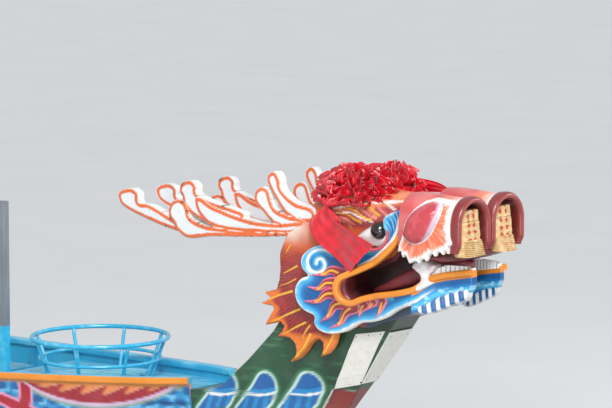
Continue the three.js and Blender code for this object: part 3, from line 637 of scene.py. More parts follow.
SKULL_OUTLINE = np.array([
    (-0.7, 0.02), (-0.6, 0.09), (-0.54, 0.15), (-0.4, 0.19), (-0.26, 0.212), (-0.12, 0.212),
    (0.0, 0.205), (0.2, 0.178), (0.2, -0.076), (0.168, -0.08), (0.095, -0.16), (-0.031, -0.215),
    (-0.167, -0.24), (-0.215, -0.29), (-0.225, -0.33), (-0.167, -0.385), (-0.031, -0.372), (0.235, -0.322),
    (0.235, -0.44), (0.06, -0.5), (-0.1, -0.56), (-0.64, -0.57), (-0.74, -0.42), (-0.76, -0.1)])
CROWN = np.roll(SKULL_OUTLINE, 1, axis=0)[:9]
CROWN_ROUND = 0.13
MOUTH_EDGE = SKULL_OUTLINE[8:18]
BROW_STROKES = {
    "yellow": [
        stroke([(-0.07, 0.052), (-0.13, 0.066), (-0.19, 0.098), (-0.27, 0.108)], 0.0065, 0.003),
        stroke([(-0.15, 0.03), (-0.19, 0.046), (-0.24, 0.07), (-0.31, 0.072)], 0.0065, 0.003),
        stroke([(-0.01, 0.08), (-0.05, 0.1), (-0.1, 0.13), (-0.15, 0.14)], 0.006, 0.003)],
    "pink": [
        stroke([(-0.04, 0.06), (-0.09, 0.08), (-0.15, 0.112), (-0.24, 0.128)], 0.008, 0.004),
        stroke([(-0.11, 0.04), (-0.16, 0.056), (-0.215, 0.084), (-0.3, 0.092)], 0.007, 0.003),
        stroke([(0.03, 0.092), (-0.01, 0.112), (-0.06, 0.142), (-0.11, 0.156)], 0.007, 0.004),
        stroke([(-0.2, 0.016), (-0.24, 0.034), (-0.29, 0.05), (-0.35, 0.048)], 0.006, 0.003)],
    "white": [
        stroke([(0.19, 0.17), (0.06, 0.16), (-0.06, 0.15), (-0.2, 0.132), (-0.37, 0.09)], 0.007, 0.005),
        stroke([(-0.06, 0.04), (-0.14, 0.06), (-0.23, 0.082), (-0.36, 0.066)], 0.005, 0.003),
        stroke([(0.08, 0.12), (0.04, 0.136), (-0.01, 0.16)], 0.005, 0.003)],
}


def skull_front(x, z, depth):
    """Flat sides that close over the crown in a quarter circle, with the brow standing proud."""
    up = np.interp(x, CROWN[:, 0], CROWN[:, 1]) - z
    t = np.clip(up / CROWN_ROUND, 0.0, 1.0)
    points = pairs(x, z)
    ridges = sum(0.006 * ramp(stroke_field(points, group)[0], -0.004, 0.004) for group in BROW_STROKES.values())
    brow = 0.014 * ramp(x, -0.4, -0.3) * ramp(z, 0.0, 0.045) * ramp(t, 0.15, 0.4)
    return 0.001 + (CORE_HALF - 0.001 + brow + ridges) * rounded(up, CROWN_ROUND)


def skull_colour(x, z, depth):
    points = pairs(x, z)
    rough = hash_noise(points, 26.0, 11)
    paint = plain(TEMPLE_ORANGE, len(x))
    paint = tint(paint, rgb(150, 60, 30), ramp(-z, 0.1, 0.3))
    brow = ramp(x, -0.42, -0.3) * ramp(z, -0.03, 0.02)
    paint = tint(paint, rgb(168, 58, 62), brow)
    paint = tint(paint, rgb(226, 128, 78), brow * ramp(z - 0.16 * x, 0.115, 0.15))
    paint = tint(paint, rgb(234, 150, 110), brow * ramp(rough, 0.55, 0.75) * 0.7)
    for name, colour in (("pink", rgb(222, 128, 118)), ("white", WHITE), ("yellow", YELLOW)):
        paint = tint(paint, colour, brow * ramp(stroke_field(points, BROW_STROKES[name])[0], -0.0015, 0.0015))
    paint = tint(paint, rgb(232, 220, 206), ramp(-x, 0.5, 0.64) * ramp(z, -0.13, -0.01))
    paint = tint(paint, rgb(44, 62, 82), ramp(-z, 0.405, 0.425) * ramp(x, -0.16, -0.1))
    mouth, _ = path_field(points, MOUTH_EDGE)
    return tint(paint, MOUTH_DARK, fade(mouth, 0.02, 0.03))


board_pair("skull", SKULL_OUTLINE, (-0.78, -0.59), (0.26, 0.24), 0.008, skull_front,
           0.0, skull_colour, CARVING_PAINT, sharp=50.0)
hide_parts("head_core")

# Throat and palate: dark slabs that close the mouth behind the tongue and under the snouts. The throat's
# near-black is painted shade deep in the mouth.
THROAT_OUTLINE = np.array([(0.255, -0.09), (0.18, -0.07), (0.08, -0.15), (-0.04, -0.205), (-0.23, -0.27),
                           (-0.24, -0.34), (-0.17, -0.4), (-0.03, -0.385), (0.25, -0.335), (0.3, -0.22)])
PALATE_STEPS = np.array([
    # x, z, half width, half thickness
    (0.18, -0.078, 0.17, 0.03), (0.26, -0.098, 0.205, 0.034), (0.35, -0.112, 0.222, 0.036),
    (0.45, -0.112, 0.228, 0.034), (0.53, -0.102, 0.222, 0.026), (0.56, -0.096, 0.205, 0.014)])


def throat_shade_colour(x, z, depth):
    points = pairs(x, z)
    # near-black painted shade of the deep mouth, mottled with dark red
    return tint(plain(rgb(26, 6, 8), len(x)), rgb(78, 16, 20),
                ramp(hash_noise(points, 14.0, 15), 0.4, 0.8) * 0.4)


board_pair("throat", THROAT_OUTLINE, (-0.26, -0.42), (0.32, -0.05), 0.01,
           0.05, 0.0, throat_shade_colour, CARVING_PAINT)


def slab(steps, rows, power, groove=0.0):
    """A rounded slab along x from a table of stations. Its section is a superellipse, and a
    groove that falls off as a bell curve runs down the middle of its top."""
    line = smooth_path(steps, rows)
    around = 40
    turn = np.linspace(0.0, 2 * math.pi, around, endpoint=False)
    across = np.sign(np.cos(turn)) * np.abs(np.cos(turn)) ** power
    up = np.sign(np.sin(turn)) * np.abs(np.sin(turn)) ** power
    up = up - groove * np.exp(-(across / 0.16) ** 2) * (up > 0)
    rings = np.stack([np.broadcast_to(line[:, 0, None] + EYE_X, (rows, around)),
                      line[:, 2, None] * across[None, :],
                      line[:, 1, None] + EYE_Z + line[:, 3, None] * up[None, :]], axis=-1)
    return tube_mesh(rings)


def flesh(vertices, seed, low):
    """Mottling of the mouth's flesh, stretched fore and aft."""
    return ramp(hash_noise(vertices * [1.0, 2.0, 4.0], 16.0, seed), low, 0.8)


vertices, faces = slab(PALATE_STEPS, 40, 0.6)
paint = tint(plain(rgb(92, 22, 26), len(vertices)), rgb(140, 44, 48), flesh(vertices, 16, 0.4))
place(make_mesh("palate", vertices, faces, paint), CARVING_PAINT)


# Snout: two arches side by side, each a rolled rim carried round an arch, and a dark plug behind
# the nostril, whose dark red is painted shade deep in the nostril.

SNOUT_MIDDLE = 0.155
ARCH_RADIUS = 0.149
SNOUT_FOOT = -0.075
ARCH_TOP = 0.226
# x from the eye, distance out from the arch line: the outer skin, the rolled rim and the nostril wall.
RIM_PROFILE = np.array([
    (0.2, 0.0), (0.26, 0.004), (0.34, 0.002), (0.42, -0.004), (0.5, -0.008), (0.545, -0.006),
    (0.556, 0.0), (0.58, 0.003), (0.6, 0.002), (0.612, -0.004), (0.618, -0.013), (0.617, -0.023),
    (0.609, -0.032), (0.594, -0.038), (0.56, -0.042), (0.5, -0.047), (0.4, -0.051), (0.2, -0.051)])


def arch_line(count):
    """Feet, legs and half circle of an arch as offsets (across, up) with their outward normals."""
    spring = ARCH_TOP - ARCH_RADIUS
    leg = spring - SNOUT_FOOT
    total = 2 * leg + math.pi * ARCH_RADIUS
    s = np.linspace(0.0, total, count)
    turn = np.clip((s - leg) / ARCH_RADIUS, 0.0, math.pi)
    across = -ARCH_RADIUS * np.cos(turn)
    up = np.where(s < leg, SNOUT_FOOT + s, np.where(s > total - leg, SNOUT_FOOT + total - s,
                                                   spring + ARCH_RADIUS * np.sin(turn)))
    return across, up, -np.cos(turn), np.sin(turn)


def snout_paint(x, across, up, inside):
    """Bands along the snout: salmon at the back, fur orange, a white line, then the maroon rim with a painted
    highlight on its front edge. The nostril's inner wall is darker as painted shade.
    """
    points = np.stack([x, across, up], axis=1)
    wave = 0.022 * (hash_noise(points, 9.0, 21) - 0.5)
    streaks = hash_noise(points * [1.0, 6.0, 6.0], 14.0, 22)
    paint = plain(rgb(204, 78, 78), len(x))
    paint = tint(paint, rgb(226, 132, 128), ramp(hash_noise(points, 12.0, 23), 0.45, 0.8) * 0.5)
    paint = tint(paint, FUR_ORANGE, ramp(x + wave, 0.4, 0.46))
    paint = tint(paint, rgb(244, 196, 178), ramp(x + wave, 0.47, 0.515) * (0.5 + 0.5 * streaks))
    paint = tint(paint, WHITE, ramp(x, 0.53, 0.54))
    paint = tint(paint, RIM_MAROON, ramp(x, 0.553, 0.559))
    # painted highlight along the rim's front edge
    paint = tint(paint, rgb(190, 88, 80), ramp(x, 0.6135, 0.618) * 0.4)
    # painted shade on the nostril's inner wall
    return tint(paint, rgb(96, 26, 26), inside)


def add_snout(side, sign):
    across, up, out_across, out_up = arch_line(61)
    profile = smooth_path(RIM_PROFILE, 90)
    a = across[:, None] + out_across[:, None] * profile[None, :, 1]
    z = up[:, None] + out_up[:, None] * profile[None, :, 1]
    x = np.broadcast_to(profile[None, :, 0], a.shape)
    foot = ramp(z, SNOUT_FOOT, SNOUT_FOOT + 0.05)
    x = x - 0.02 * (1.0 - foot) * (x > 0.5)
    rings = np.stack([x + EYE_X, sign * (SNOUT_MIDDLE + a), z + EYE_Z], axis=-1)
    vertices, faces = tube_mesh(rings)
    # mask of the nostril's inner wall, which takes the painted shade
    inside = np.broadcast_to(ramp(np.arange(90) / 89.0, 0.72, 0.8)[None, :], a.shape)
    paint = snout_paint(x.ravel(), a.ravel(), z.ravel(), inside.ravel())
    paint = np.concatenate([paint, paint[:1], paint[-1:]])
    place(make_mesh(f"snout_arch_{side}", vertices, faces, paint, 60.0), CARVING_PAINT,
          replaced=[f"snout_{side}"])
    plug = np.stack([a[:, -1], z[:, -1]], axis=1)
    ends = np.array([0.22, 0.392, 0.398])
    shrink = np.array([1.0, 1.0, 0.96])
    middle = np.array([0.0, 0.05])
    loops = [np.stack([np.full(len(plug), e + EYE_X),
                       sign * (SNOUT_MIDDLE + ((plug - middle) * k + middle)[:, 0]),
                       ((plug - middle) * k + middle)[:, 1] + EYE_Z], axis=1) for e, k in zip(ends, shrink)]
    vertices, faces = tube_mesh(np.stack(loops))
    # the plug's dark red is painted shade deep in the nostril
    place(make_mesh(f"nostril_back_{side}", vertices, faces, plain(rgb(84, 22, 24), len(vertices))),
          CARVING_PAINT)


for side, sign in SIDES.items():
    add_snout(side, sign)


# Bulge: an egg with a pale border, set in the side of each snout.

BULGE_OUTLINE = smooth_path([
    (0.243, 0.0), (0.252, 0.06), (0.287, 0.128), (0.345, 0.18), (0.4, 0.204), (0.455, 0.204), (0.496, 0.174),
    (0.5, 0.13), (0.478, 0.076), (0.44, 0.016), (0.395, -0.024), (0.34, -0.044), (0.285, -0.038)], 120, True)


def arch_side(z):
    """Distance of the snout's outer skin off the centre plane at a height."""
    rise = np.clip(z - (ARCH_TOP - ARCH_RADIUS), 0.0, ARCH_RADIUS * 0.995)
    return SNOUT_MIDDLE + np.sqrt(ARCH_RADIUS ** 2 - rise ** 2)


def bulge_front(x, z, depth):
    dome = 0.052 * rounded(depth - 0.016, 0.085)
    border = 0.012 * rounded(depth, 0.01)
    groove = 0.006 * np.exp(-((depth - 0.016) / 0.004) ** 2)
    return arch_side(z) + 0.01 + border + dome - groove


def bulge_colour(x, z, depth):
    points = pairs(x, z)
    # the pale border widens toward the front and bottom, the lit side, as a painted highlight
    painted_highlight_side = ramp(x - 0.35 * z, 0.34, 0.47)
    paint = tint(plain(BULGE_RED, len(x)), rgb(226, 110, 112),
                 ramp(hash_noise(points, 30.0, 31), 0.4, 0.8) * 0.35)
    # darker towards the back and bottom of the dome: painted shade
    paint = tint(paint, rgb(164, 44, 52), ramp(-(x + z), -0.42, -0.22) * 0.45)
    paint = tint(paint, LAVENDER, fade(depth, 0.006 + 0.014 * painted_highlight_side, 0.014 + 0.026 * painted_highlight_side))
    return tint(paint, WHITE, fade(depth, 0.003 + 0.004 * painted_highlight_side, 0.008 + 0.006 * painted_highlight_side))


board_pair("bulge_egg", BULGE_OUTLINE, (0.23, -0.06), (0.52, 0.22), 0.0045, bulge_front,
           lambda x, z, d: arch_side(z) - 0.02, bulge_colour, CARVING_PAINT, replaced=["bulge"])


# Fur skirt: a jagged board that hangs over the mouth from behind the rim.

FUR_OUTLINE = np.array([
    (0.4, 0.214), (0.484, 0.21), (0.552, 0.205), (0.556, 0.12), (0.552, 0.06), (0.56, 0.01), (0.574, -0.019),
    (0.56, -0.036), (0.552, -0.03), (0.537, -0.064), (0.524, -0.06), (0.512, -0.086), (0.498, -0.072),
    (0.485, -0.069), (0.47, -0.078), (0.459, -0.101), (0.448, -0.088), (0.433, -0.084), (0.417, -0.096),
    (0.4, -0.13), (0.386, -0.118), (0.367, -0.121), (0.358, -0.126), (0.348, -0.148), (0.336, -0.136),
    (0.321, -0.135), (0.308, -0.14), (0.281, -0.152), (0.272, -0.13), (0.261, -0.109), (0.25, -0.108),
    (0.235, -0.124), (0.23, -0.104), (0.228, -0.09), (0.216, -0.086), (0.199, -0.094), (0.208, -0.068),
    (0.216, -0.04), (0.23, -0.01), (0.25, 0.07), (0.3, 0.15), (0.35, 0.196)])


def fur_hairs(x, z, round_scale, out_scale, seed):
    """Noise stretched into hairs that run out from the middle of the fur."""
    across, up = x - 0.37, z - 0.09
    return hash_noise(pairs(np.arctan2(up, across) * round_scale, np.hypot(across, up) * out_scale), 1.0, seed)


def fur_colour(x, z, depth):
    hairs = fur_hairs(x, z, 14.0, 12.0, 41)
    fine = fur_hairs(x, z, 40.0, 30.0, 42)
    edge = depth + 0.016 * (hairs - 0.5) + 0.008 * (fine - 0.5)
    paint = tint(plain(FUR_ORANGE, len(x)), rgb(214, 84, 62), ramp(fine, 0.55, 0.85) * 0.6)
    paint = tint(paint, rgb(246, 186, 160), ramp(hairs, 0.55, 0.85) * 0.6)
    return tint(paint, WHITE, fade(edge, 0.012, 0.034))


def fur_front(x, z, depth):
    return arch_side(z) + 0.004 + 0.012 * rounded(depth, 0.012) + 0.004 * fur_hairs(x, z, 30.0, 16.0, 43)


board_pair("fur_skirt", FUR_OUTLINE, (0.19, -0.16), (0.58, 0.22), 0.004, fur_front,
           lambda x, z, d: arch_side(z) - 0.012, fur_colour, CARVING_PAINT)


# Eye: a white almond, a glossy black ball in it and a beaded lower lid.

ALMOND = smooth_path([
    (-0.178, -0.05), (-0.13, -0.012), (-0.085, 0.014), (-0.03, 0.04), (0.02, 0.05), (0.066, 0.02),
    (0.072, -0.03), (0.04, -0.072), (-0.02, -0.094), (-0.09, -0.086), (-0.14, -0.066)], 90, True)
PUPIL_RADIUS = 0.052
PUPIL_OUT = 0.218


def almond_front(x, z, depth):
    return CORE_HALF + 0.004 + 0.04 * rounded(depth, 0.07)


def almond_colour(x, z, depth):
    # greyer toward the outline: painted shade round the white dome's edge
    return tint(plain(rgb(238, 236, 232), len(x)), rgb(196, 204, 210), fade(depth, 0.004, 0.022))


board_pair("eye_almond", ALMOND, (-0.19, -0.1), (0.09, 0.06), 0.004, almond_front,
           CORE_HALF - 0.02, almond_colour,
           brushed_paint("eye_white_paint", gloss=0.22, chips=0.1, grime=0.25), replaced=["eye"])


def ball(centre, radius, rows=28, columns=40, squash=(1.0, 1.0, 1.0)):
    """Points of a sphere from polar angles, with its poles closed by the end fans."""
    polar = np.linspace(0.03, math.pi - 0.03, rows)[:, None]
    turn = np.linspace(0.0, 2 * math.pi, columns, endpoint=False)[None, :]
    shape = np.stack([np.sin(polar) * np.cos(turn), np.cos(polar) * np.ones_like(turn),
                      np.sin(polar) * np.sin(turn)], axis=-1)
    return tube_mesh(np.asarray(centre) + radius * np.asarray(squash) * shape)


def merge_parts(parts):
    """Several (vertices, faces, colour) triples as one list of vertices, faces and paint."""
    vertices, faces, paint, start = [], [], [], 0
    for points, loops, colour in parts:
        vertices.append(points)
        faces += [[int(i) + start for i in loop] for loop in loops]
        paint.append(plain(colour, len(points)) if np.ndim(colour) == 1 else colour)
        start += len(points)
    return np.concatenate(vertices), faces, np.concatenate(paint)


PUPIL_GLOSS = Finish("pupil_gloss", Base_Color=(*BLACK, 1.0), Coat_Weight=1.0, Coat_Roughness=0.04)
PUPIL_GLOSS.feed("Roughness", 0.16 + PUPIL_GLOSS.noise(60.0) * 0.12)
PUPIL_GLOSS.feed("Base Color", PUPIL_GLOSS.mix(BLACK, rgb(34, 36, 40), PUPIL_GLOSS.noise(24.0).above(0.6, 0.2)))

for side, sign in SIDES.items():
    vertices, faces = ball((EYE_X, sign * PUPIL_OUT, EYE_Z), PUPIL_RADIUS)
    place(make_mesh(f"pupil_{side}", vertices, faces), PUPIL_GLOSS.material)
    lid = smooth_path([(-0.118, -0.098), (-0.06, -0.108), (-0.005, -0.102), (0.045, -0.082), (0.08, -0.04),
                       (0.086, 0.004)], 22)
    beads = [(*ball((EYE_X + px, sign * (CORE_HALF + 0.064), EYE_Z + pz), 0.0085, 7, 9), rgb(214, 66, 92))
             for px, pz in lid]
    vertices, faces, paint = merge_parts(beads)
    place(make_mesh(f"beaded_lid_{side}", vertices, faces, paint), CARVING_PAINT)


# Cheek: cloud-edged board with a scroll, flames that radiate from the mouth's corner, the blue
# band over the lip and the wedge before the eye. All outlines are [x, z] from the eye.

LIP_LINE = [
    (0.179, 0.053), (0.165, -0.001), (0.126, -0.064), (0.061, -0.131), (-0.014, -0.184), (-0.087, -0.222),
    (-0.149, -0.25), (-0.19, -0.275), (-0.209, -0.325), (-0.195, -0.376), (-0.16, -0.403), (-0.117, -0.407),
    (-0.066, -0.384), (0.022, -0.359), (0.121, -0.342), (0.204, -0.323), (0.254, -0.305), (0.305, -0.271),
    (0.357, -0.241), (0.428, -0.222), (0.532, -0.206), (0.636, -0.19),
]
CHEEK_EDGE = [
    (0.168, 0.126), (0.14, 0.126), (0.05, 0.09), (0.03, 0.045), (0.05, -0.02), (0.03, -0.08),
    (-0.04, -0.105), (-0.11, -0.1), (-0.18, -0.075), (-0.26, -0.085), (-0.31, -0.112), (-0.345, -0.097),
    (-0.392, -0.106), (-0.445, -0.13), (-0.486, -0.165), (-0.5, -0.205), (-0.488, -0.25), (-0.457, -0.283),
    (-0.5, -0.303), (-0.53, -0.345), (-0.536, -0.39), (-0.522, -0.441), (-0.48, -0.485), (-0.418, -0.512),
    (-0.417, -0.552), (-0.391, -0.59), (-0.332, -0.608), (-0.25, -0.596), (-0.191, -0.566), (-0.13, -0.533),
    (-0.048, -0.518), (0.007, -0.502), (0.06, -0.48), (0.088, -0.462), (0.142, -0.43), (0.196, -0.407),
    (0.245, -0.385), (0.245, -0.31),
]
MOUTH_SIDE = LIP_LINE[14::-1]
CHEEK_OUTLINE = smooth_path(CHEEK_EDGE + [LIP_LINE[15]] + MOUTH_SIDE, 260, closed=True)
CHEEK_LOW_EDGE = np.array(CHEEK_EDGE[-13:-1])
CHEEK_FLAT = 0.242
CHEEK_FLARE = 0.135
LIP_PATH = smooth_path(LIP_LINE, 120)
SCROLL = smooth_path([
    (-0.251, -0.17), (-0.3, -0.15), (-0.345, -0.135), (-0.395, -0.133), (-0.44, -0.16), (-0.458, -0.205),
    (-0.44, -0.248), (-0.4, -0.262), (-0.362, -0.245), (-0.35, -0.21), (-0.368, -0.183), (-0.395, -0.188),
    (-0.402, -0.21)], 80)
# Flames: points from root to tip, then the half width at the root.
FLAMES = [
    ([(-0.235, -0.262), (-0.3, -0.243), (-0.352, -0.268), (-0.44, -0.277)], 0.034),
    ([(-0.245, -0.318), (-0.33, -0.316), (-0.38, -0.352), (-0.452, -0.347)], 0.036),
    ([(-0.245, -0.372), (-0.33, -0.378), (-0.39, -0.424), (-0.482, -0.431)], 0.038),
    ([(-0.215, -0.42), (-0.282, -0.44), (-0.318, -0.5), (-0.378, -0.543)], 0.036),
    ([(-0.165, -0.44), (-0.215, -0.475), (-0.25, -0.54), (-0.322, -0.577)], 0.036),
    ([(-0.085, -0.42), (-0.11, -0.445), (-0.122, -0.47), (-0.139, -0.5)], 0.026),
    ([(0.04, -0.385), (0.03, -0.42), (0.016, -0.455), (-0.015, -0.49)], 0.026),
    ([(-0.02, -0.4), (-0.038, -0.418), (-0.046, -0.43), (-0.066, -0.446)], 0.02),
]
FLAME_STROKES = [stroke(points, 1.18 * half, 0.001, power=0.9) for points, half in FLAMES]


def cheek_out(x):
    """The board flares outboard toward the back."""
    return CHEEK_FLAT + CHEEK_FLARE * np.clip((-0.15 - x) / 0.6, 0.0, 1.0)


def flame_layers(x, z):
    """Distance inside the flames, and inside them with the collar round the mouth's corner, then
    the distance to the lip and how far along the lip that is."""
    points = pairs(x, z)
    flames, _ = stroke_field(points, FLAME_STROKES)
    lip_gap, lip_along = path_field(points, LIP_PATH)
    collar = np.where((lip_along > 0.26) & (lip_along < 0.6), 0.056 - lip_gap, -1.0)
    return flames, np.maximum(flames, collar), lip_gap, lip_along


def cheek_front(x, z, depth):
    low_edge, _ = path_field(pairs(x, z), CHEEK_LOW_EDGE)
    depth = depth + (np.maximum(depth, low_edge) - depth) * ramp(x, 0.17, 0.2)
    round_over = 0.022 * (1.0 - rounded(depth, 0.026))
    _, flames, lip_gap, lip_along = flame_layers(x, z)
    scroll_gap, _ = path_field(pairs(x, z), SCROLL)
    groove = 0.01 * np.exp(-(scroll_gap / 0.01) ** 2)
    dish = 0.01 * ramp(depth, 0.01, 0.04)
    raised = 0.013 * ramp(flames, -0.002, 0.005)
    band = 0.014 * ramp(0.05 - lip_gap, 0.0, 0.014) * (lip_along < 0.3)
    return cheek_out(x) - round_over - dish + raised + band - groove


def cheek_colour(x, z, depth):
    points = pairs(x, z)
    flames, layer, lip_gap, lip_along = flame_layers(x, z)
    wobble = 0.006 * (hash_noise(points, 40.0, 3) - 0.5)
    low_edge, _ = path_field(points, CHEEK_LOW_EDGE)
    d = np.where(x > 0.12, low_edge, depth) + wobble
    paint = plain(DEEP_BLUE, len(x))
    paint = tint(paint, MID_BLUE, fade(d, 0.034, 0.075))
    paint = tint(paint, LIGHT_BLUE, fade(d, 0.018, 0.048))
    paint = tint(paint, WHITE, fade(d, 0.007, 0.021))
    scroll_gap, _ = path_field(points, SCROLL)
    in_scroll = ramp(-x, 0.28, 0.31) * ramp(z, -0.3, -0.27)
    paint = tint(paint, LIGHT_BLUE, in_scroll * fade(scroll_gap, 0.008, 0.03))
    paint = tint(paint, WHITE, in_scroll * fade(scroll_gap, 0.004, 0.011))
    upper = lip_along < 0.3
    white_band = ramp(0.04 - lip_gap, 0.0, 0.003) * upper * ramp(x, -0.22, -0.18)
    paint = tint(paint, WHITE, white_band)
    fan = np.arctan2(z + 0.16, x - 0.2)
    strokes = 0.5 + 0.5 * np.sin(fan * 62.0 + 4.0 * hash_noise(points, 18.0, 5))
    wedge = ramp(z, -0.02, 0.03) * (lip_gap > 0.03)
    paint = tint(paint, LIGHT_BLUE, wedge * ramp(strokes, 0.45, 0.75) * 0.9)
    paint = tint(paint, PALE_BLUE, wedge * ramp(strokes, 0.9, 1.0) * 0.7)
    paint = tint(paint, FLAME_PINK, ramp(layer, -0.0015, 0.0015))
    inner = ramp(flames, 0.006, 0.009)
    collar_inner = ramp(layer, 0.008, 0.014) * (flames < 0.0)
    paint = tint(paint, FLAME_RED, np.maximum(inner, collar_inner))
    path_gap = np.full(len(x), np.inf)
    for path, _ in FLAME_STROKES:
        gap, t = path_field(points, path)
        path_gap = np.minimum(path_gap, gap + 0.02 * (t > 0.72) + 0.02 * (t < 0.1))
    paint = tint(paint, YELLOW, fade(path_gap, 0.004, 0.0075) * (flames > 0.004))
    return tint(paint, rgb(112, 32, 36), fade(lip_gap, 0.01, 0.015))


board_pair("cheek_carving", CHEEK_OUTLINE, (-0.56, -0.63), (0.27, 0.15), 0.004, cheek_front,
           CORE_HALF - 0.02, cheek_colour, CARVING_PAINT,
           replaced=["cheek"], inside=MOUTH_DARK)


# Lip: a thick band along the mouth, thin at its upper end and cut square at the front.

LIP_HALF = 0.021
LIP_DRAWN = 0.048


def drawn_in(points, by=0.03):
    """The outline with its front part moved aft, as the prongs draw together there."""
    points = np.asarray(points, float)
    return points - np.stack([by * ramp(points[:, 0], 0.3, 0.62), np.zeros(len(points))], axis=1)


def lip_out(x):
    """Distance of the lip off the centre plane, which narrows toward the bow."""
    return 0.262 + 0.1 * np.clip(-x / 0.25, 0, 1) - 0.116 * np.clip((x - 0.05) / 0.56, 0, 1)


def add_lips():
    path = smooth_path(drawn_in(LIP_LINE, LIP_DRAWN), 150)
    t = np.linspace(0.0, 1.0, len(path))
    scale = 0.45 + 0.55 * ramp(t, 0.0, 0.14)
    for side, sign in SIDES.items():
        line = np.stack([path[:, 0] + EYE_X, sign * lip_out(path[:, 0]), path[:, 1] + EYE_Z], axis=1)
        rings = sweep(line, soft_box_section(0.018, LIP_HALF, 0.012, 4), scale, up=(0.0, 1.0, 0.0))
        vertices, faces = tube_mesh(rings)
        paint = plain(LIP_ORANGE, len(vertices))
        low = ramp(-(vertices[:, 2] - EYE_Z), 0.24, 0.5)
        paint = tint(paint, rgb(206, 112, 26), 0.5 * low)
        place(make_mesh(f"lip_band_{side}", vertices, faces, paint, 50.0), CARVING_PAINT,
              replaced=[f"lip_{side}"])


add_lips()

# Lower jaw: two prongs, ribbed like a comb below, with a strip of teeth and a fang on top.

PRONG_OUTLINE = drawn_in([
    (0.228, -0.318), (0.262, -0.278), (0.3, -0.252), (0.342, -0.232), (0.421, -0.208), (0.532, -0.192),
    (0.655, -0.174), (0.658, -0.262), (0.64, -0.3), (0.54, -0.318), (0.43, -0.346), (0.34, -0.39),
    (0.285, -0.425), (0.228, -0.445)], 0.064)
RIB_OUTLINE = drawn_in([
    (0.262, -0.4), (0.33, -0.372), (0.43, -0.33), (0.54, -0.3), (0.646, -0.276), (0.652, -0.3),
    (0.646, -0.33), (0.63, -0.352), (0.575, -0.374), (0.5, -0.396), (0.42, -0.42), (0.34, -0.44),
    (0.295, -0.444), (0.268, -0.432)], 0.078)
JAW_RIBS = 5.5
RIB_START, RIB_END = 0.262, 0.574


def prong_lean(x):
    """The prongs spread toward the back."""
    return 0.091 * np.clip((0.62 - x) / 0.38, 0.0, 1.0)


def prong_front(x, z, depth):
    rim = rounded(depth, 0.012)
    return 0.133 + 0.01 * rim + prong_lean(x)


def prong_colour(x, z, depth):
    points = pairs(x, z)
    lip_gap, _ = path_field(points, LIP_PATH)
    d = lip_gap + 0.008 * (hash_noise(points, 30.0, 51) - 0.5)
    paint = plain(DEEP_BLUE, len(x))
    paint = tint(paint, MID_BLUE, ramp(d, 0.045, 0.065))
    # light-blue band along the prong's lower edge: a painted highlight
    paint = tint(paint, LIGHT_BLUE, ramp(d, 0.066, 0.082) * fade(d, 0.095, 0.11))
    fleck = ramp(hash_noise(points * [1.0, 3.0], 34.0, 52), 0.62, 0.8)
    root = fade(x, 0.26, 0.4)
    paint = tint(paint, LIGHT_BLUE, ramp(d, 0.022, 0.048) * fade(d, 0.06, 0.072) * root)
    paint = tint(paint, WHITE, ramp(d, 0.046, 0.056) * fade(d, 0.062, 0.07) * root)
    rim_gap, _ = path_field(points, smooth_path(drawn_in(LIP_LINE, LIP_DRAWN), 60))
    paint = tint(paint, LIP_ORANGE, fade(rim_gap, 0.026, 0.03))
    # pale flecks within the painted highlight band
    return tint(paint, PALE_BLUE, fleck * ramp(d, 0.06, 0.07) * fade(d, 0.09, 0.1) * 0.7)


def rib_wave(x, z):
    """Rises to 1 on the crest of each rib and 0 in the grooves; the ribs lean forward downward."""
    s = (x + 0.12 * (z + 0.36) - RIB_START) / (RIB_END - RIB_START)
    return s, np.abs(np.sin(math.pi * JAW_RIBS * s))


def rib_front(x, z, depth):
    _, crest = rib_wave(x, z)
    rim = rounded(depth, 0.02)
    return 0.119 + 0.022 * rim + 0.012 * np.sqrt(crest) * rim + prong_lean(x)


def rib_colour(x, z, depth):
    s, crest = rib_wave(x, z)
    stripe = 0.5 + 0.5 * np.sin(2 * math.pi * JAW_RIBS * s - 0.6)
    paint = tint(plain(DEEP_BLUE, len(x)), WHITE, ramp(stripe, 0.46, 0.56))
    paint = tint(paint, PALE_BLUE, ramp(stripe, 0.4, 0.46) * fade(stripe, 0.5, 0.56) * 0.6)
    return tint(paint, rgb(200, 206, 206), fade(depth, 0.004, 0.012) * 0.6)


board_pair("jaw_prong", PRONG_OUTLINE, (0.22, -0.46), (0.67, -0.19), 0.005, prong_front,
           lambda x, z, d: 0.1 + prong_lean(x), prong_colour, CARVING_PAINT)
board_pair("jaw_comb", RIB_OUTLINE, (0.25, -0.46), (0.67, -0.26), 0.004, rib_front,
           lambda x, z, d: 0.104 + prong_lean(x), rib_colour, CARVING_PAINT,
           replaced=["jaw_ribs"])
# The prongs join under the tongue.
JAW_ROOT = np.array([(0.2, -0.42), (0.2, -0.34), (0.26, -0.33), (0.3, -0.345), (0.31, -0.4), (0.27, -0.436)])
root_rings = np.stack([np.stack([JAW_ROOT[:, 0] + EYE_X, np.full(len(JAW_ROOT), y),
                                 JAW_ROOT[:, 1] + EYE_Z], axis=1)
                       for y in np.linspace(-0.15, 0.15, 9)])
root_vertices, root_faces = tube_mesh(root_rings)
place(make_mesh("jaw_root", root_vertices, root_faces, plain(MOUTH_DARK, len(root_vertices))), CARVING_PAINT,
      replaced=["jaw"])

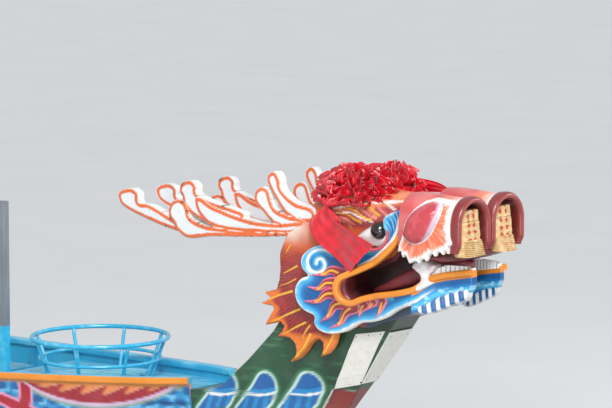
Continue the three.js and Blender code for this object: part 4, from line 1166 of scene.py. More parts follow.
TOOTH_OUTLINE = drawn_in([
    (0.338, -0.25), (0.42, -0.226), (0.652, -0.194), (0.654, -0.136), (0.6, -0.14), (0.5, -0.152),
    (0.43, -0.166), (0.352, -0.196)], 0.068)
FANG_OUTLINE = smooth_path([
    (0.24, -0.18), (0.262, -0.148), (0.311, -0.138), (0.35, -0.152), (0.384, -0.166), (0.372, -0.198),
    (0.35, -0.222), (0.362, -0.25), (0.378, -0.262), (0.33, -0.292), (0.272, -0.318), (0.262, -0.29),
    (0.29, -0.252), (0.286, -0.222), (0.262, -0.204)], 90, True)
TOOTH_PITCH = 0.0265


def tooth_front(x, z, depth):
    rim = rounded(depth, 0.008)
    gap = np.exp(-(np.abs((x / TOOTH_PITCH + 0.3) % 1.0 - 0.5) / 0.1) ** 2) * ramp(x, 0.41, 0.42)
    return 0.121 + 0.01 * rim - 0.006 * gap + prong_lean(x)


def tooth_colour(x, z, depth):
    gap = np.abs((x / TOOTH_PITCH + 0.3) % 1.0 - 0.5)
    along = ramp(x, 0.39, 0.4) * ramp(z - (-0.222 + 0.14 * (x - 0.42)), 0.0, 0.004)
    return tint(plain(rgb(252, 252, 250), len(x)), rgb(24, 22, 26), fade(gap, 0.05, 0.1) * along)


def fang_front(x, z, depth):
    return 0.133 + 0.03 * rounded(depth, 0.03) + prong_lean(x)


def fang_colour(x, z, depth):
    points = pairs(x, z)
    paint = tint(plain(rgb(236, 232, 230), len(x)), rgb(196, 170, 176),
                 ramp(hash_noise(points, 34.0, 53), 0.5, 0.8) * 0.5)
    return tint(paint, rgb(150, 118, 128), fade(depth, 0.002, 0.01) * 0.5)


TOOTH_PAINT = brushed_paint("tooth_enamel_paint", gloss=0.28, chips=0.15, grime=0.12)
board_pair("tooth_row", TOOTH_OUTLINE, (0.33, -0.27), (0.67, -0.17), 0.0032, tooth_front,
           lambda x, z, d: 0.098 + prong_lean(x), tooth_colour, TOOTH_PAINT, replaced=["teeth"])
board_pair("fang", FANG_OUTLINE, (0.23, -0.33), (0.39, -0.13), 0.004, fang_front,
           lambda x, z, d: 0.098 + prong_lean(x), fang_colour, TOOTH_PAINT)

# Tongue: a rounded slab that rises forward, with a shallow groove down its middle.
TONGUE_STEPS = np.array([
    # x, z, half width, half thickness
    (-0.16, -0.366, 0.066, 0.016), (-0.075, -0.338, 0.076, 0.031), (0.02, -0.3, 0.08, 0.045),
    (0.147, -0.252, 0.081, 0.058), (0.25, -0.214, 0.08, 0.061), (0.34, -0.192, 0.076, 0.057),
    (0.42, -0.18, 0.066, 0.045), (0.462, -0.176, 0.048, 0.029), (0.478, -0.175, 0.022, 0.014)])
vertices, faces = slab(TONGUE_STEPS, 46, 0.5, 0.3)
paint = tint(plain(TONGUE_RED, len(vertices)), rgb(176, 76, 80), 0.25 + flesh(vertices, 61, 0.45) * 0.45)
place(make_mesh("tongue_slab", vertices, faces, paint), CARVING_PAINT, replaced=["tongue"])


# Fin: a hatched board behind the cheek whose jagged tips turn orange along yellow ribs.

FIN_OUTLINE = np.array([
    (-0.3, -0.02), (-0.4, 0.02), (-0.5, 0.01), (-0.58, -0.02), (-0.64, -0.06), (-0.668, -0.11),
    (-0.679, -0.172), (-0.69, -0.24), (-0.7, -0.33), (-0.722, -0.392), (-0.76, -0.4), (-0.812, -0.416),
    (-0.79, -0.428), (-0.764, -0.44), (-0.8, -0.466), (-0.846, -0.48), (-0.8, -0.486), (-0.752, -0.488),
    (-0.737, -0.503), (-0.764, -0.54), (-0.808, -0.606), (-0.75, -0.59), (-0.693, -0.576), (-0.668, -0.598),
    (-0.68, -0.626), (-0.716, -0.662), (-0.668, -0.66), (-0.629, -0.663), (-0.596, -0.69), (-0.582, -0.724),
    (-0.59, -0.76), (-0.632, -0.806), (-0.57, -0.772), (-0.529, -0.732), (-0.5, -0.69), (-0.46, -0.66),
    (-0.43, -0.65), (-0.4, -0.668), (-0.396, -0.7), (-0.418, -0.752), (-0.372, -0.732), (-0.34, -0.7),
    (-0.318, -0.664), (-0.3, -0.6), (-0.27, -0.52), (-0.26, -0.3)])
FIN_RIBS = [
    ([(-0.572, -0.246), (-0.66, -0.292)], 0.006), ([(-0.606, -0.392), (-0.7, -0.424), (-0.806, -0.468)], 0.007),
    ([(-0.552, -0.49), (-0.65, -0.534), (-0.752, -0.586)], 0.007),
    ([(-0.514, -0.564), (-0.59, -0.602), (-0.664, -0.646)], 0.007),
    ([(-0.482, -0.578), (-0.51, -0.612), (-0.534, -0.652)], 0.006),
    ([(-0.482, -0.63), (-0.52, -0.7), (-0.59, -0.78)], 0.008),
    ([(-0.322, -0.62), (-0.35, -0.67), (-0.392, -0.736)], 0.008),
    ([(-0.62, -0.13), (-0.65, -0.18)], 0.004), ([(-0.58, -0.32), (-0.64, -0.35), (-0.69, -0.366)], 0.004)]
FIN_RIB_STROKES = [stroke(points, half, half * 0.5) for points, half in FIN_RIBS]
FIN_HEART = np.array([-0.36, -0.28])


def fin_out(x):
    return 0.04 * np.clip((-0.35 - x) / 0.4, 0.0, 1.0)


def fin_hatch(points):
    """Fine carved lines that fan out from the middle of the cheek, broken up by noise."""
    away = points - FIN_HEART
    turn = np.arctan2(away[:, 1], away[:, 0]) % (2 * math.pi)
    far = np.hypot(*away.T)
    broken = hash_noise(np.stack([turn * 9.0, far * 22.0], axis=1), 1.0, 71)
    return np.sin(turn * 120.0 + 5.0 * broken) * 0.5 + 0.5, broken


def fin_front(x, z, depth):
    points = pairs(x, z)
    rim = rounded(depth, 0.012)
    hatch, _ = fin_hatch(points)
    ribs, _ = stroke_field(points, FIN_RIB_STROKES)
    relief = 0.0025 * hatch * ramp(-z, 0.14, 0.2) + 0.005 * ramp(ribs, -0.003, 0.002)
    return CORE_HALF + 0.026 + 0.014 * rim + fin_out(x) + relief


def fin_colour(x, z, depth):
    points = pairs(x, z)
    hatch, broken = fin_hatch(points)
    wobble = 0.02 * (hash_noise(points, 22.0, 72) - 0.5)
    low = ramp(-z + wobble, 0.1, 0.24)
    paint = plain(TEMPLE_ORANGE, len(x))
    paint = tint(paint, rgb(180, 74, 34), ramp(hash_noise(points, 12.0, 73), 0.4, 0.8) * 0.5)
    paint = tint(paint, rgb(236, 226, 214), ramp(-x + 0.8 * wobble, 0.45, 0.62) * ramp(z + wobble, -0.15, -0.02))
    paint = tint(paint, FIN_MAROON, low)
    paint = tint(paint, rgb(88, 20, 24), low * ramp(hatch, 0.55, 0.76) * ramp(broken, 0.25, 0.45) * 0.85)
    tips = fade(depth + wobble, 0.018, 0.05) * ramp(-z, 0.36, 0.42)
    paint = tint(paint, FIN_ORANGE, tips)
    tail_flames = ramp(-z + wobble, 0.615, 0.665) * ramp(x, -0.66, -0.6)
    paint = tint(paint, rgb(222, 118, 32), tail_flames)
    ribs, _ = stroke_field(points, FIN_RIB_STROKES)
    return tint(paint, YELLOW, ramp(ribs, -0.001, 0.002))


board_pair("fin_flames", FIN_OUTLINE, (-0.86, -0.82), (-0.24, 0.04), 0.0054, fin_front,
           CORE_HALF + 0.001, fin_colour, CARVING_PAINT, replaced=["fin"])


# Mane: thick boards of curled tines, each white with orange along the edge of its face.

MANE_TINES = [
    [(-2.021, 0.036), (-2.015, 0.072), (-1.972, 0.093), (-1.912, 0.101), (-1.864, 0.074), (-1.853, 0.022),
     (-1.758, 0.011), (-1.604, -0.047), (-1.52, -0.078), (-1.5, -0.13), (-1.64, -0.111), (-1.853, -0.057),
     (-1.985, -0.01)],
    [(-1.388, 0.108), (-1.393, 0.15), (-1.428, 0.178), (-1.474, 0.175), (-1.515, 0.151), (-1.525, 0.111),
     (-1.504, 0.08), (-1.487, 0.04), (-1.417, -0.024), (-1.256, -0.07), (-1.08, -0.06), (-1.02, 0.01),
     (-1.096, 0.036), (-1.233, 0.059), (-1.324, 0.081)],
    [(-0.84, 0.215), (-0.836, 0.252), (-0.805, 0.276), (-0.772, 0.269), (-0.748, 0.232), (-0.74, 0.19),
     (-0.7, 0.147), (-0.618, 0.105), (-0.5, 0.08), (-0.49, 0.012), (-0.607, 0.0), (-0.706, 0.04),
     (-0.77, 0.11), (-0.815, 0.17)],
    [(-0.936, 0.11), (-0.93, 0.15), (-0.903, 0.175), (-0.868, 0.183), (-0.833, 0.166), (-0.811, 0.115),
     (-0.778, 0.064), (-0.695, 0.034), (-0.6, 0.022), (-0.54, -0.01), (-0.64, -0.04), (-0.761, -0.035),
     (-0.82, -0.006), (-0.87, 0.036), (-0.92, 0.076)],
    [(-1.392, 0.082), (-1.347, 0.084), (-1.256, 0.044), (-1.097, 0.004), (-0.928, -0.021), (-0.761, -0.021),
     (-0.596, 0.0), (-0.54, -0.03), (-0.64, -0.07), (-0.761, -0.08), (-1.097, -0.09), (-1.256, -0.075),
     (-1.335, -0.034), (-1.382, 0.022)],
    [(-1.429, -0.036), (-1.448, 0.014), (-1.475, 0.052), (-1.522, 0.066), (-1.574, 0.046), (-1.602, -0.003),
     (-1.594, -0.048), (-1.562, -0.08), (-1.534, -0.12), (-1.441, -0.16), (-1.257, -0.136), (-1.0, -0.118),
     (-0.8, -0.1), (-0.64, -0.08), (-0.58, -0.05), (-0.7, -0.066), (-1.0, -0.085), (-1.233, -0.078),
     (-1.34, -0.068)],
]
TINE_OUTLINES = [smooth_path(points, 90, True) for points in MANE_TINES]
MANE_INNER, MANE_OUTER = 0.14, 0.215


def tine_fields(points):
    return [inside_field(points, outline) for outline in TINE_OUTLINES]


def mane_field(points):
    return np.maximum.reduce(tine_fields(points))


def mane_front(x, z, depth):
    """Later tines lie in front of earlier ones and each has its own rounded edge."""
    out = np.full(len(x), MANE_OUTER - 0.024)
    for k, field in enumerate(tine_fields(pairs(x, z))):
        rim = rounded(field, 0.01)
        level = MANE_OUTER - 0.026 + 0.003 * k
        out = np.where(field > 0.0, np.maximum(out - 0.004, level + 0.008 * rim), out)
    return out


def mane_colour(x, z, depth):
    points = pairs(x, z)
    wobble = 0.004 * (hash_noise(points, 24.0, 81) - 0.5)
    paint = plain(rgb(226, 228, 228), len(x))
    for field in tine_fields(points):
        here = ramp(field, -0.001, 0.001)
        face = tint(plain(rgb(228, 232, 234), len(x)), HORN_ORANGE, fade(field + wobble, 0.022, 0.027))
        face = tint(face, rgb(236, 236, 232), fade(field + wobble, 0.001, 0.004))
        paint = tint(paint, face, here)
    worn = ramp(hash_noise(points, 60.0, 82), 0.7, 0.8) * ramp(hash_noise(points, 5.0, 83), 0.55, 0.7)
    return tint(paint, rgb(40, 34, 30), worn * fade(depth, 0.01, 0.02) * 0.8)


board_pair("mane_tines", mane_field, (-2.04, -0.18), (-0.48, 0.29), 0.0058, mane_front,
           MANE_INNER, mane_colour, CARVING_PAINT, replaced=["mane"])


# Papers: a bundle of folded joss paper in each nostril, two stacked packets over a pleated fan,
# with rows of small red lozenges.

def paper_packet(centre, size, lean=0.0, pleats=0.0, seed=0):
    """A soft rectangular packet: a rounded box in u, v whose face is bowed, whose edges are
    ragged by noise and whose front is pleated by a sine of its height."""
    rows = 46
    face, edge = np.linspace(-1.0, 1.0, 26), np.linspace(-1.0, 1.0, 6)[1:-1]
    ca = np.concatenate([np.ones(26), -edge, -np.ones(6), edge])
    sa = np.concatenate([face, np.ones(4), -np.linspace(-1.0, 1.0, 6), -np.ones(4)])
    round_off = (np.abs(ca) ** 8 + np.abs(sa) ** 8) ** -0.125
    ca, sa = ca * round_off, sa * round_off
    v = np.linspace(-1.0, 1.0, rows)
    close = np.clip((1.0 - np.abs(v)) / 0.06, 0.0, 1.0) ** 0.5
    close = np.maximum(close, 0.02)
    thick, wide, high = size
    x = thick / 2 * ca[None, :] * close[:, None]
    y = wide / 2 * sa[None, :] * (0.93 + 0.07 * close[:, None])
    z = np.broadcast_to(high / 2 * v[:, None], x.shape)
    sheets = np.sin(v[:, None] * math.pi * 9.0 + 3.0 * sa[None, :] + seed)
    x = x + 0.0035 * pleats * sheets + 0.006 * (1.0 - (2 * y / wide) ** 2) * (ca[None, :] > 0)
    x = x + lean * z
    points = np.stack([centre[0] + x, centre[1] + y, centre[2] + z], axis=-1)
    noise = hash_noise(points.reshape(-1, 3), 55.0, seed).reshape(x.shape)
    points[..., 0] += 0.004 * (noise - 0.5)
    vertices, faces = tube_mesh(points)
    flat = points.reshape(-1, 3)
    uy = (flat[:, 1] - centre[1]) / wide
    vz = (flat[:, 2] - centre[2]) / high
    paint = tint(plain(PAPER_TAN, len(flat)), rgb(226, 200, 154), ramp(noise.ravel(), 0.4, 0.8))
    layers = np.sin(vz * (60.0 if pleats > 0.5 else 26.0) + 2.0 * noise.ravel()) * 0.5 + 0.5
    paint = tint(paint, rgb(150, 112, 66), ramp(layers, 0.8, 0.98) * (0.75 if pleats > 0.5 else 0.1))
    mark_y = (uy * wide / 0.052) % 1.0 - 0.5
    mark_z = (vz * high / 0.04 + 0.5) % 1.0 - 0.5
    lozenge = np.abs(mark_y) + np.abs(mark_z) * 0.8 + 2.0 * ramp(np.abs(uy) * wide, 0.05, 0.054)
    broken = hash_noise(np.stack([flat[:, 1], flat[:, 2]], 1), 150.0, seed + 9)
    marks = fade(lozenge + 0.4 * (broken - 0.5), 0.3, 0.38) * (1.0 - pleats)
    paint = tint(paint, rgb(176, 40, 44), marks * 0.95)
    paint = np.concatenate([paint, paint[:1], paint[-1:]])
    return vertices, faces, paint


PAPER = Finish("folded_paper", Specular_IOR_Level=0.25)
paper_base = PAPER.node("ShaderNodeAttribute", {"attribute_name": "paint"})
paper_fibre = PAPER.noise(240.0, 3.0, 0.7)
PAPER.feed("Base Color", PAPER.mix(paper_base, rgb(120, 84, 44), PAPER.noise(30.0, 4.0).above(0.62, 0.3) * 0.35))
PAPER.feed("Roughness", 0.72 + paper_fibre * 0.2)
PAPER.feed("Normal", PAPER.bump(paper_fibre + PAPER.noise(40.0) * 0.8, 0.35, 0.0015))

for side, sign in SIDES.items():
    middle = sign * SNOUT_MIDDLE - (0.026 if sign > 0 else 0.01)
    fan_width, fan_pleats = (0.144, 0.6) if sign > 0 else (0.19, 1.0)
    packets = [
        paper_packet((EYE_X + 0.48, middle, EYE_Z + 0.035), (0.12, 0.176, 0.235), 0.0, 0.0, 1),
        paper_packet((EYE_X + 0.556, middle + 0.002, EYE_Z + 0.122), (0.056, 0.168, 0.066), -0.1, 0.05, 2),
        paper_packet((EYE_X + 0.568, middle - 0.002, EYE_Z + 0.034), (0.058, 0.172, 0.116), -0.1, 0.05, 3),
        paper_packet((EYE_X + 0.588, middle - 0.4 * (fan_width - 0.144), EYE_Z - 0.052),
                     (0.084, fan_width, 0.09), -0.3, fan_pleats, 4)]
    vertices, faces, paint = merge_parts(packets)
    place(make_mesh(f"paper_bundle_{side}", vertices, faces, paint, 50.0), PAPER.material,
          replaced=[f"paper_{side}"])


# Satin: rosettes of gathered ribbon on the crown, and the ribbon's tails.

SATIN = Finish("red_satin", Sheen_Weight=0.12, Sheen_Roughness=0.4, Specular_IOR_Level=0.8, Coat_Weight=0.45,
               Coat_Roughness=0.14)
satin_weave = SATIN.noise(500.0, 2.0, 0.6, SATIN.stretched((1.0, 1.0, 4.0)))
satin_shade = SATIN.noise(16.0, 3.0)
SATIN.feed("Base Color", SATIN.mix(rgb(214, 2, 32), rgb(164, 0, 22), satin_shade.above(0.5, 0.3) * 0.7))
SATIN.feed("Roughness", 0.24 + satin_weave * 0.12)
SATIN.feed("Normal", SATIN.bump(satin_weave * 0.4 + SATIN.noise(40.0, 3.0) * 0.6, 0.12, 0.001))

SATIN_THICKNESS = 0.0016


def sew(name, vertices, faces, replaced, area):
    """A satin piece: the mesh, thickened into cloth by a solidify modifier, with the satin finish.
    The rosettes' width is nominal.
    """
    obj = make_mesh(name, vertices, faces, None, 180.0)
    thick = obj.modifiers.new("cloth", "SOLIDIFY")
    thick.thickness, thick.offset = SATIN_THICKNESS, 0.0
    place(obj, SATIN.material, replaced=replaced)


# Rings of a rosette from the crown outward: distance of the pinned edge from the middle, length
# of the ribbon's loops, height of the pinned edge, lean from upright, number of folds.
RUFFLES = [
    (0.01, 0.086, 0.046, 0.0, 4),
    (0.032, 0.098, 0.034, 0.06, 6),
    (0.054, 0.104, 0.018, 0.14, 9),
    (0.076, 0.108, 0.0, 0.22, 12),
    (0.097, 0.108, -0.022, 0.3, 14),
    (0.117, 0.106, -0.046, 0.38, 16),
    (0.135, 0.1, -0.072, 0.46, 18),
    (0.15, 0.09, -0.098, 0.56, 19),
    (0.16, 0.07, -0.116, 0.68, 20),
]


def ruffle(ring, stretch, rng):
    """One gathered ring of ribbon, folded over into loops. Up the ribbon and back it runs round
    a flat arch: height follows the sine and thickness the cosine of half a turn. Round the ring
    the folds make each loop's length, thickness and angle swell and sink."""
    pinned, length, height, lean, folds = ring
    around, across = folds * 12, 12
    t = np.linspace(0.0, 2 * math.pi, around, endpoint=False)
    warp = sum(rng.normal(0.0, 0.2 / k) * np.sin(k * t + rng.uniform(0, 6.3)) for k in range(1, 5))
    phase = folds * (t + warp * 0.4) + rng.uniform(0, 6.3)
    crest = (0.5 + 0.5 * np.sin(phase)) ** 0.6
    wander = 0.01 * sum(rng.normal(0.0, 0.8) * np.sin(k * t + rng.uniform(0, 6.3)) for k in (2, 4, 7))[:, None]
    size = 1.0 + 0.13 * sum(rng.normal(0.0, 0.8) * np.sin(k * t + rng.uniform(0, 6.3)) for k in (2, 5, 9))
    tip = 0.16 * sum(rng.normal(0.0, 0.8) * np.sin(k * t + rng.uniform(0, 6.3)) for k in (3, 7, 11))
    v = np.linspace(0.02, 0.98, across)[None, :]
    arch = np.sin(math.pi * v) ** 0.6
    swell = np.cos(math.pi * v) * (0.45 + 0.55 * arch)
    crest, size, tip = crest[:, None], size[:, None], tip[:, None]
    reach_up = length * size * (0.62 + 0.38 * crest) * arch
    thick = 0.015 * (0.18 + 0.82 * crest)
    pleat = 0.0045 * np.sin(4.0 * phase[:, None] + 3.0 * np.sin(2.0 * v * math.pi)) * arch
    slant = lean + tip + 0.3 * (crest - 0.6) + 0.35 * arch * np.sin(1.7 * phase[:, None])
    out = pinned + wander + reach_up * np.sin(slant) + (thick * swell + pleat) * np.cos(slant)
    rise = height - wander + reach_up * np.cos(slant) - (thick * swell + pleat) * np.sin(slant)
    angle = t[:, None] + (1.0 / folds) * np.cos(phase[:, None]) * arch
    return np.stack([stretch[0] * out * np.cos(angle), stretch[1] * out * np.sin(angle),
                     rise * stretch[2]], axis=-1)


def add_rosette(side, sign, centre, stretch, lean, seed):
    rng = np.random.default_rng(seed)
    vertices, faces, start, area = [], [], 0, 0.0
    for ring in RUFFLES:
        grid = ruffle(ring, stretch, rng)
        crumple = hash_noise(grid.reshape(-1, 3), 26.0, 3 * seed + len(vertices)).reshape(grid.shape[:2]) - 0.5
        fine = hash_noise(grid.reshape(-1, 3), 70.0, seed + len(vertices)).reshape(grid.shape[:2]) - 0.5
        grid = grid * (1.0 + 0.16 * crumple[..., None] + 0.045 * fine[..., None])
        quads = grid_faces(*grid.shape[:2], wrap_rows=True)
        flat = grid.reshape(-1, 3)
        area += quad_area(flat, quads)
        vertices.append(flat)
        faces += (quads + start).tolist()
        start += len(flat)
    vertices = np.concatenate(vertices)
    tilt = lean * sign
    y = vertices[:, 1] * math.cos(tilt) + vertices[:, 2] * math.sin(tilt)
    z = vertices[:, 2] * math.cos(tilt) - vertices[:, 1] * math.sin(tilt)
    vertices = np.stack([vertices[:, 0], y, z], axis=1) + centre
    sew(f"rosette_ruffles_{side}", vertices, faces, [f"rosette_{side}"], area)


add_rosette("starboard", -1.0, np.array([EYE_X - 0.262, -0.118, EYE_Z + 0.232]), (1.26, 0.74, 0.86), 0.12, 7)
add_rosette("port", 1.0, np.array([EYE_X - 0.185, 0.135, EYE_Z + 0.222]), (1.02, 0.72, 0.92), 0.22, 12)


def ribbon_strip(name, line, across, half_widths, replaced, crease=0.004, seed=0):
    """A flat band: its middle line swept by a width vector, with long shallow creases along it
    and a soft fold across each end."""
    steps, columns = 90, 22
    t = np.linspace(0.0, 1.0, steps)
    middle = smooth_path(line, steps)
    sides = smooth_path(across, steps)
    sides /= np.linalg.norm(sides, axis=1, keepdims=True)
    half = smooth_path(np.asarray(half_widths, float)[:, None], steps)[:, 0]
    forward = np.gradient(middle, axis=0)
    normal = np.cross(sides, forward)
    normal /= np.linalg.norm(normal, axis=1, keepdims=True)
    v = np.linspace(-1.0, 1.0, columns)
    rng = np.random.default_rng(seed)
    waves = sum(rng.normal(0, 1.0 / k)
                * np.sin(k * 2.2 * v[None, :] + 4.0 * t[:, None] * rng.normal() + rng.uniform(0, 6))
                for k in range(1, 5))
    points = (middle[:, None, :] + (half[:, None] * v[None, :])[..., None] * sides[:, None, :]
              + (crease * waves)[..., None] * normal[:, None, :])
    quads = grid_faces(steps, columns)
    flat = points.reshape(-1, 3)
    sew(name, flat, quads.tolist(), replaced, quad_area(flat, quads))


def off_eye(points, sign=-1.0):
    """Offsets (x, distance off the centre plane, z) from the eye as places on the boat."""
    return [(EYE_X + x, sign * y, EYE_Z + z) for x, y, z in points]


ribbon_strip("satin_tail_starboard",
             off_eye([(-0.4, 0.215, 0.105), (-0.412, 0.262, 0.058), (-0.325, 0.29, -0.016),
                      (-0.17, 0.318, -0.084), (-0.036, 0.338, -0.152)]),
             [(-0.3, -0.1, -0.3), (-0.3, -0.16, -0.26), (-0.35, -0.1, -0.3), (-0.45, 0.0, -0.42),
              (-0.5, 0.05, -0.5)],
             [0.05, 0.066, 0.084, 0.106, 0.124], ["ribbon_starboard"], 0.0048, 3)
ribbon_strip("satin_tail_port",
             off_eye([(-0.17, 0.2, 0.2), (-0.06, 0.232, 0.212), (0.06, 0.24, 0.206), (0.158, 0.24, 0.186)], 1.0),
             [(0.0, 0.1, 1.0), (0.05, 0.2, 0.9), (0.1, 0.3, 0.8), (0.1, 0.3, 0.8)],
             [0.042, 0.038, 0.026, 0.005], ["ribbon_port"], 0.004, 5)
# The fold at the rosette's foot, which shows over the temple.
ribbon_strip("satin_fold_starboard",
             off_eye([(-0.4, 0.2, 0.14), (-0.35, 0.24, 0.108), (-0.3, 0.262, 0.07), (-0.268, 0.266, 0.01)]),
             [(-0.6, 0.0, 0.3), (-0.6, 0.0, 0.35), (-0.6, 0.0, 0.2), (-0.5, 0.0, 0.2)],
             [0.03, 0.046, 0.05, 0.03], [], 0.004, 9)


# Skins over level sections: the neck, which is also the stem, and the sternpost.

def level_skin(sections, spacing, soften=2):
    """Rings of points at even heights between corner sections. Each corner runs straight from
    section to section and each side is cut into even steps; a running mean rounds the corners."""
    heights = np.array([s[0] for s in sections])
    corners = np.array([s[1] for s in sections], float)
    parts = [np.linspace(a, b, max(2, int(math.ceil((b - a) / spacing))), endpoint=False)
             for a, b in zip(heights[:-1], heights[1:])]
    z = np.concatenate(parts + [heights[-1:]])
    at = np.stack([[np.interp(z, heights, corners[:, k, c]) for c in (0, 1)] for k in range(corners.shape[1])])
    at = at.transpose(2, 0, 1)
    sides = []
    for k in range(corners.shape[1]):
        start, end = at[:, k], at[:, (k + 1) % corners.shape[1]]
        steps = max(2, int(math.ceil(np.linalg.norm(end - start, axis=1).max() / spacing)))
        t = np.linspace(0.0, 1.0, steps, endpoint=False)[None, :, None]
        sides.append(start[:, None, :] * (1 - t) + end[:, None, :] * t)
    loop = np.concatenate(sides, axis=1)
    for _ in range(soften):
        loop = 0.25 * np.roll(loop, 1, axis=1) + 0.5 * loop + 0.25 * np.roll(loop, -1, axis=1)
    level = np.broadcast_to(z[:, None, None], (*loop.shape[:2], 1))
    return np.concatenate([loop, level], axis=2)


def painted_skin(name, rings, colour, finish, body="boat", replaced=(), sharp=40.0):
    vertices, faces = tube_mesh(rings)
    paint = colour(*vertices.T)
    return place(make_mesh(name, vertices, faces, paint, sharp), finish, body, replaced)


# Height, aft end, half width there, widest point, half width there, front, half width there.
NECK_SECTIONS = [
    (-0.3, 5.101, 0.026, 5.25, 0.026, 5.5, 0.01), (-0.15, 5.101, 0.075, 5.3, 0.062, 5.71, 0.012),
    (0.0, 5.101, 0.118, 5.35, 0.104, 5.838, 0.014), (0.2, 5.101, 0.16, 5.45, 0.14, 5.982, 0.016),
    (0.42, 5.101, 0.19, 5.6, 0.165, 6.14, 0.024), (0.488, 5.101, 0.198, 5.64, 0.175, 6.189, 0.036),
    (0.53, 5.335, 0.196, 5.72, 0.182, 6.219, 0.045), (0.714, 5.55, 0.192, 5.85, 0.19, 6.352, 0.084),
    (0.9, 5.74, 0.188, 6.0, 0.19, 6.486, 0.11), (0.975, 5.795, 0.187, 6.06, 0.188, 6.54, 0.116),
    (1.045, 5.85, 0.183, 6.11, 0.184, 6.59, 0.118)]
# Tops of the big scales on the neck as [x, z] from the eye, row by row.
NECK_SCALES = [(-1.16, -0.925), (-0.865, -0.895), (-0.57, -0.868), (-1.21, -1.17), (-0.915, -1.145),
               (-0.62, -1.12), (-1.29, -1.42), (-0.995, -1.4), (-0.7, -1.38)]
SCALE_HALF = 0.076


def neck_front(z):
    """Place of the stem's front edge at a height."""
    rows = np.array(NECK_SECTIONS)
    return np.interp(z, rows[:, 0], rows[:, 5])


def neck_side(x, z):
    """Distance of the neck's skin off the centre plane between its widest point and its front."""
    rows = np.array(NECK_SECTIONS)
    middle, wide, front, narrow = (np.interp(z, rows[:, 0], rows[:, k]) for k in (3, 4, 5, 6))
    t = np.clip((x - middle) / (front - middle), 0.0, 1.0)
    return wide + (narrow - wide) * t


def neck_colour(x, y, z):
    p = np.stack([x - EYE_X, z - EYE_Z], axis=1)
    flow = hash_noise(np.stack([p[:, 0] * 1.2 + 0.6 * p[:, 1], p[:, 1] * 1.0, y], 1) * [9.0, 60.0, 9.0], 1.0, 91)
    broad = hash_noise(np.stack([x, y, z], 1), 7.0, 92)
    paint = tint(plain(NECK_GREEN, len(x)), rgb(12, 52, 28), ramp(broad, 0.4, 0.75) * 0.8)
    paint = tint(paint, rgb(52, 112, 72), ramp(flow, 0.66, 0.86) * 0.55)
    hatch = np.sin(p[:, 1] * 420.0 + 5.0 * hash_noise(p * [3.0, 3.0], 3.0, 93)) * 0.5 + 0.5
    paint = tint(paint, rgb(92, 150, 112),
                 ramp(hatch, 0.8, 0.96) * ramp(-x, -5.9, -5.78) * ramp(z, 0.78, 0.86) * 0.5)
    rows = np.array(NECK_SECTIONS)
    back, back_half = np.interp(z, rows[:, 0], rows[:, 1]), np.interp(z, rows[:, 0], rows[:, 2])
    aft_face = fade(x - back, 0.004, 0.014) * fade(np.abs(y) - back_half, -0.012, -0.004)
    for top_x, top_z in NECK_SCALES:
        path = np.array([(top_x, top_z - SCALE_HALF), (top_x - 0.045, top_z - 0.14),
                         (top_x - 0.11, top_z - 0.205), (top_x - 0.19, top_z - 0.275)])
        gap, _ = path_field(p, path, [SCALE_HALF, SCALE_HALF, 0.072, 0.064])
        inside = -gap
        fresh = ramp(inside, -0.03, -0.024)
        here = tint(plain(rgb(36, 104, 66), len(x)), rgb(188, 218, 206), ramp(inside, -0.014, -0.004))
        here = tint(here, rgb(2, 90, 158), ramp(inside, 0.003, 0.01))
        line = p[:, 1] - (top_z - 0.136 + 0.1 * (p[:, 0] - top_x) + 1.2 * (p[:, 0] - top_x + 0.05) ** 2)
        low = ramp(inside, 0.006, 0.012)
        here = tint(here, rgb(14, 134, 196), low * ramp(-line, -0.036, -0.03))
        stripes = np.sin((p[:, 0] - 0.5 * p[:, 1]) * 95.0) * 0.5 + 0.5
        here = tint(here, rgb(4, 98, 166), low * ramp(-line, 0.006, 0.01) * ramp(stripes, 0.3, 0.45))
        here = tint(here, WHITE, low * fade(np.abs(line), 0.005, 0.009))
        paint = tint(paint, here, fresh * (1.0 - aft_face))
    stem = p[:, 0] - (-0.425 + 0.74 * (p[:, 1] + 0.955))
    below = ramp(-p[:, 1] - 0.16 * (p[:, 0] + 0.42), 0.945, 0.952) * ramp(stem, -0.004, 0.002)
    paint = tint(paint, rgb(196, 206, 196), ramp(stem, -0.016, -0.01) * ramp(-p[:, 1], 0.955, 0.965))
    brown = tint(plain(STEM_BROWN, len(x)), rgb(96, 26, 24), ramp(broad, 0.45, 0.7))
    paint = tint(paint, brown, below)
    nose = ramp(x - neck_front(z), -0.012, -0.004)
    paint = tint(paint, rgb(112, 26, 26), nose * ramp(-p[:, 1], 0.93, 0.96))
    # darker green on the neck's top, under the head: painted shade
    return tint(paint, rgb(10, 44, 24), ramp(p[:, 1], -0.59, -0.575))


neck_rings = level_skin([(z, [(aft, -ah), (mx, -mh), (front, -fh), (front, fh), (mx, mh), (aft, ah)])
                         for z, aft, ah, mx, mh, front, fh in NECK_SECTIONS], 0.0106, 2)
painted_skin("neck_skin", neck_rings, neck_colour, CARVING_PAINT, replaced=["neck"])

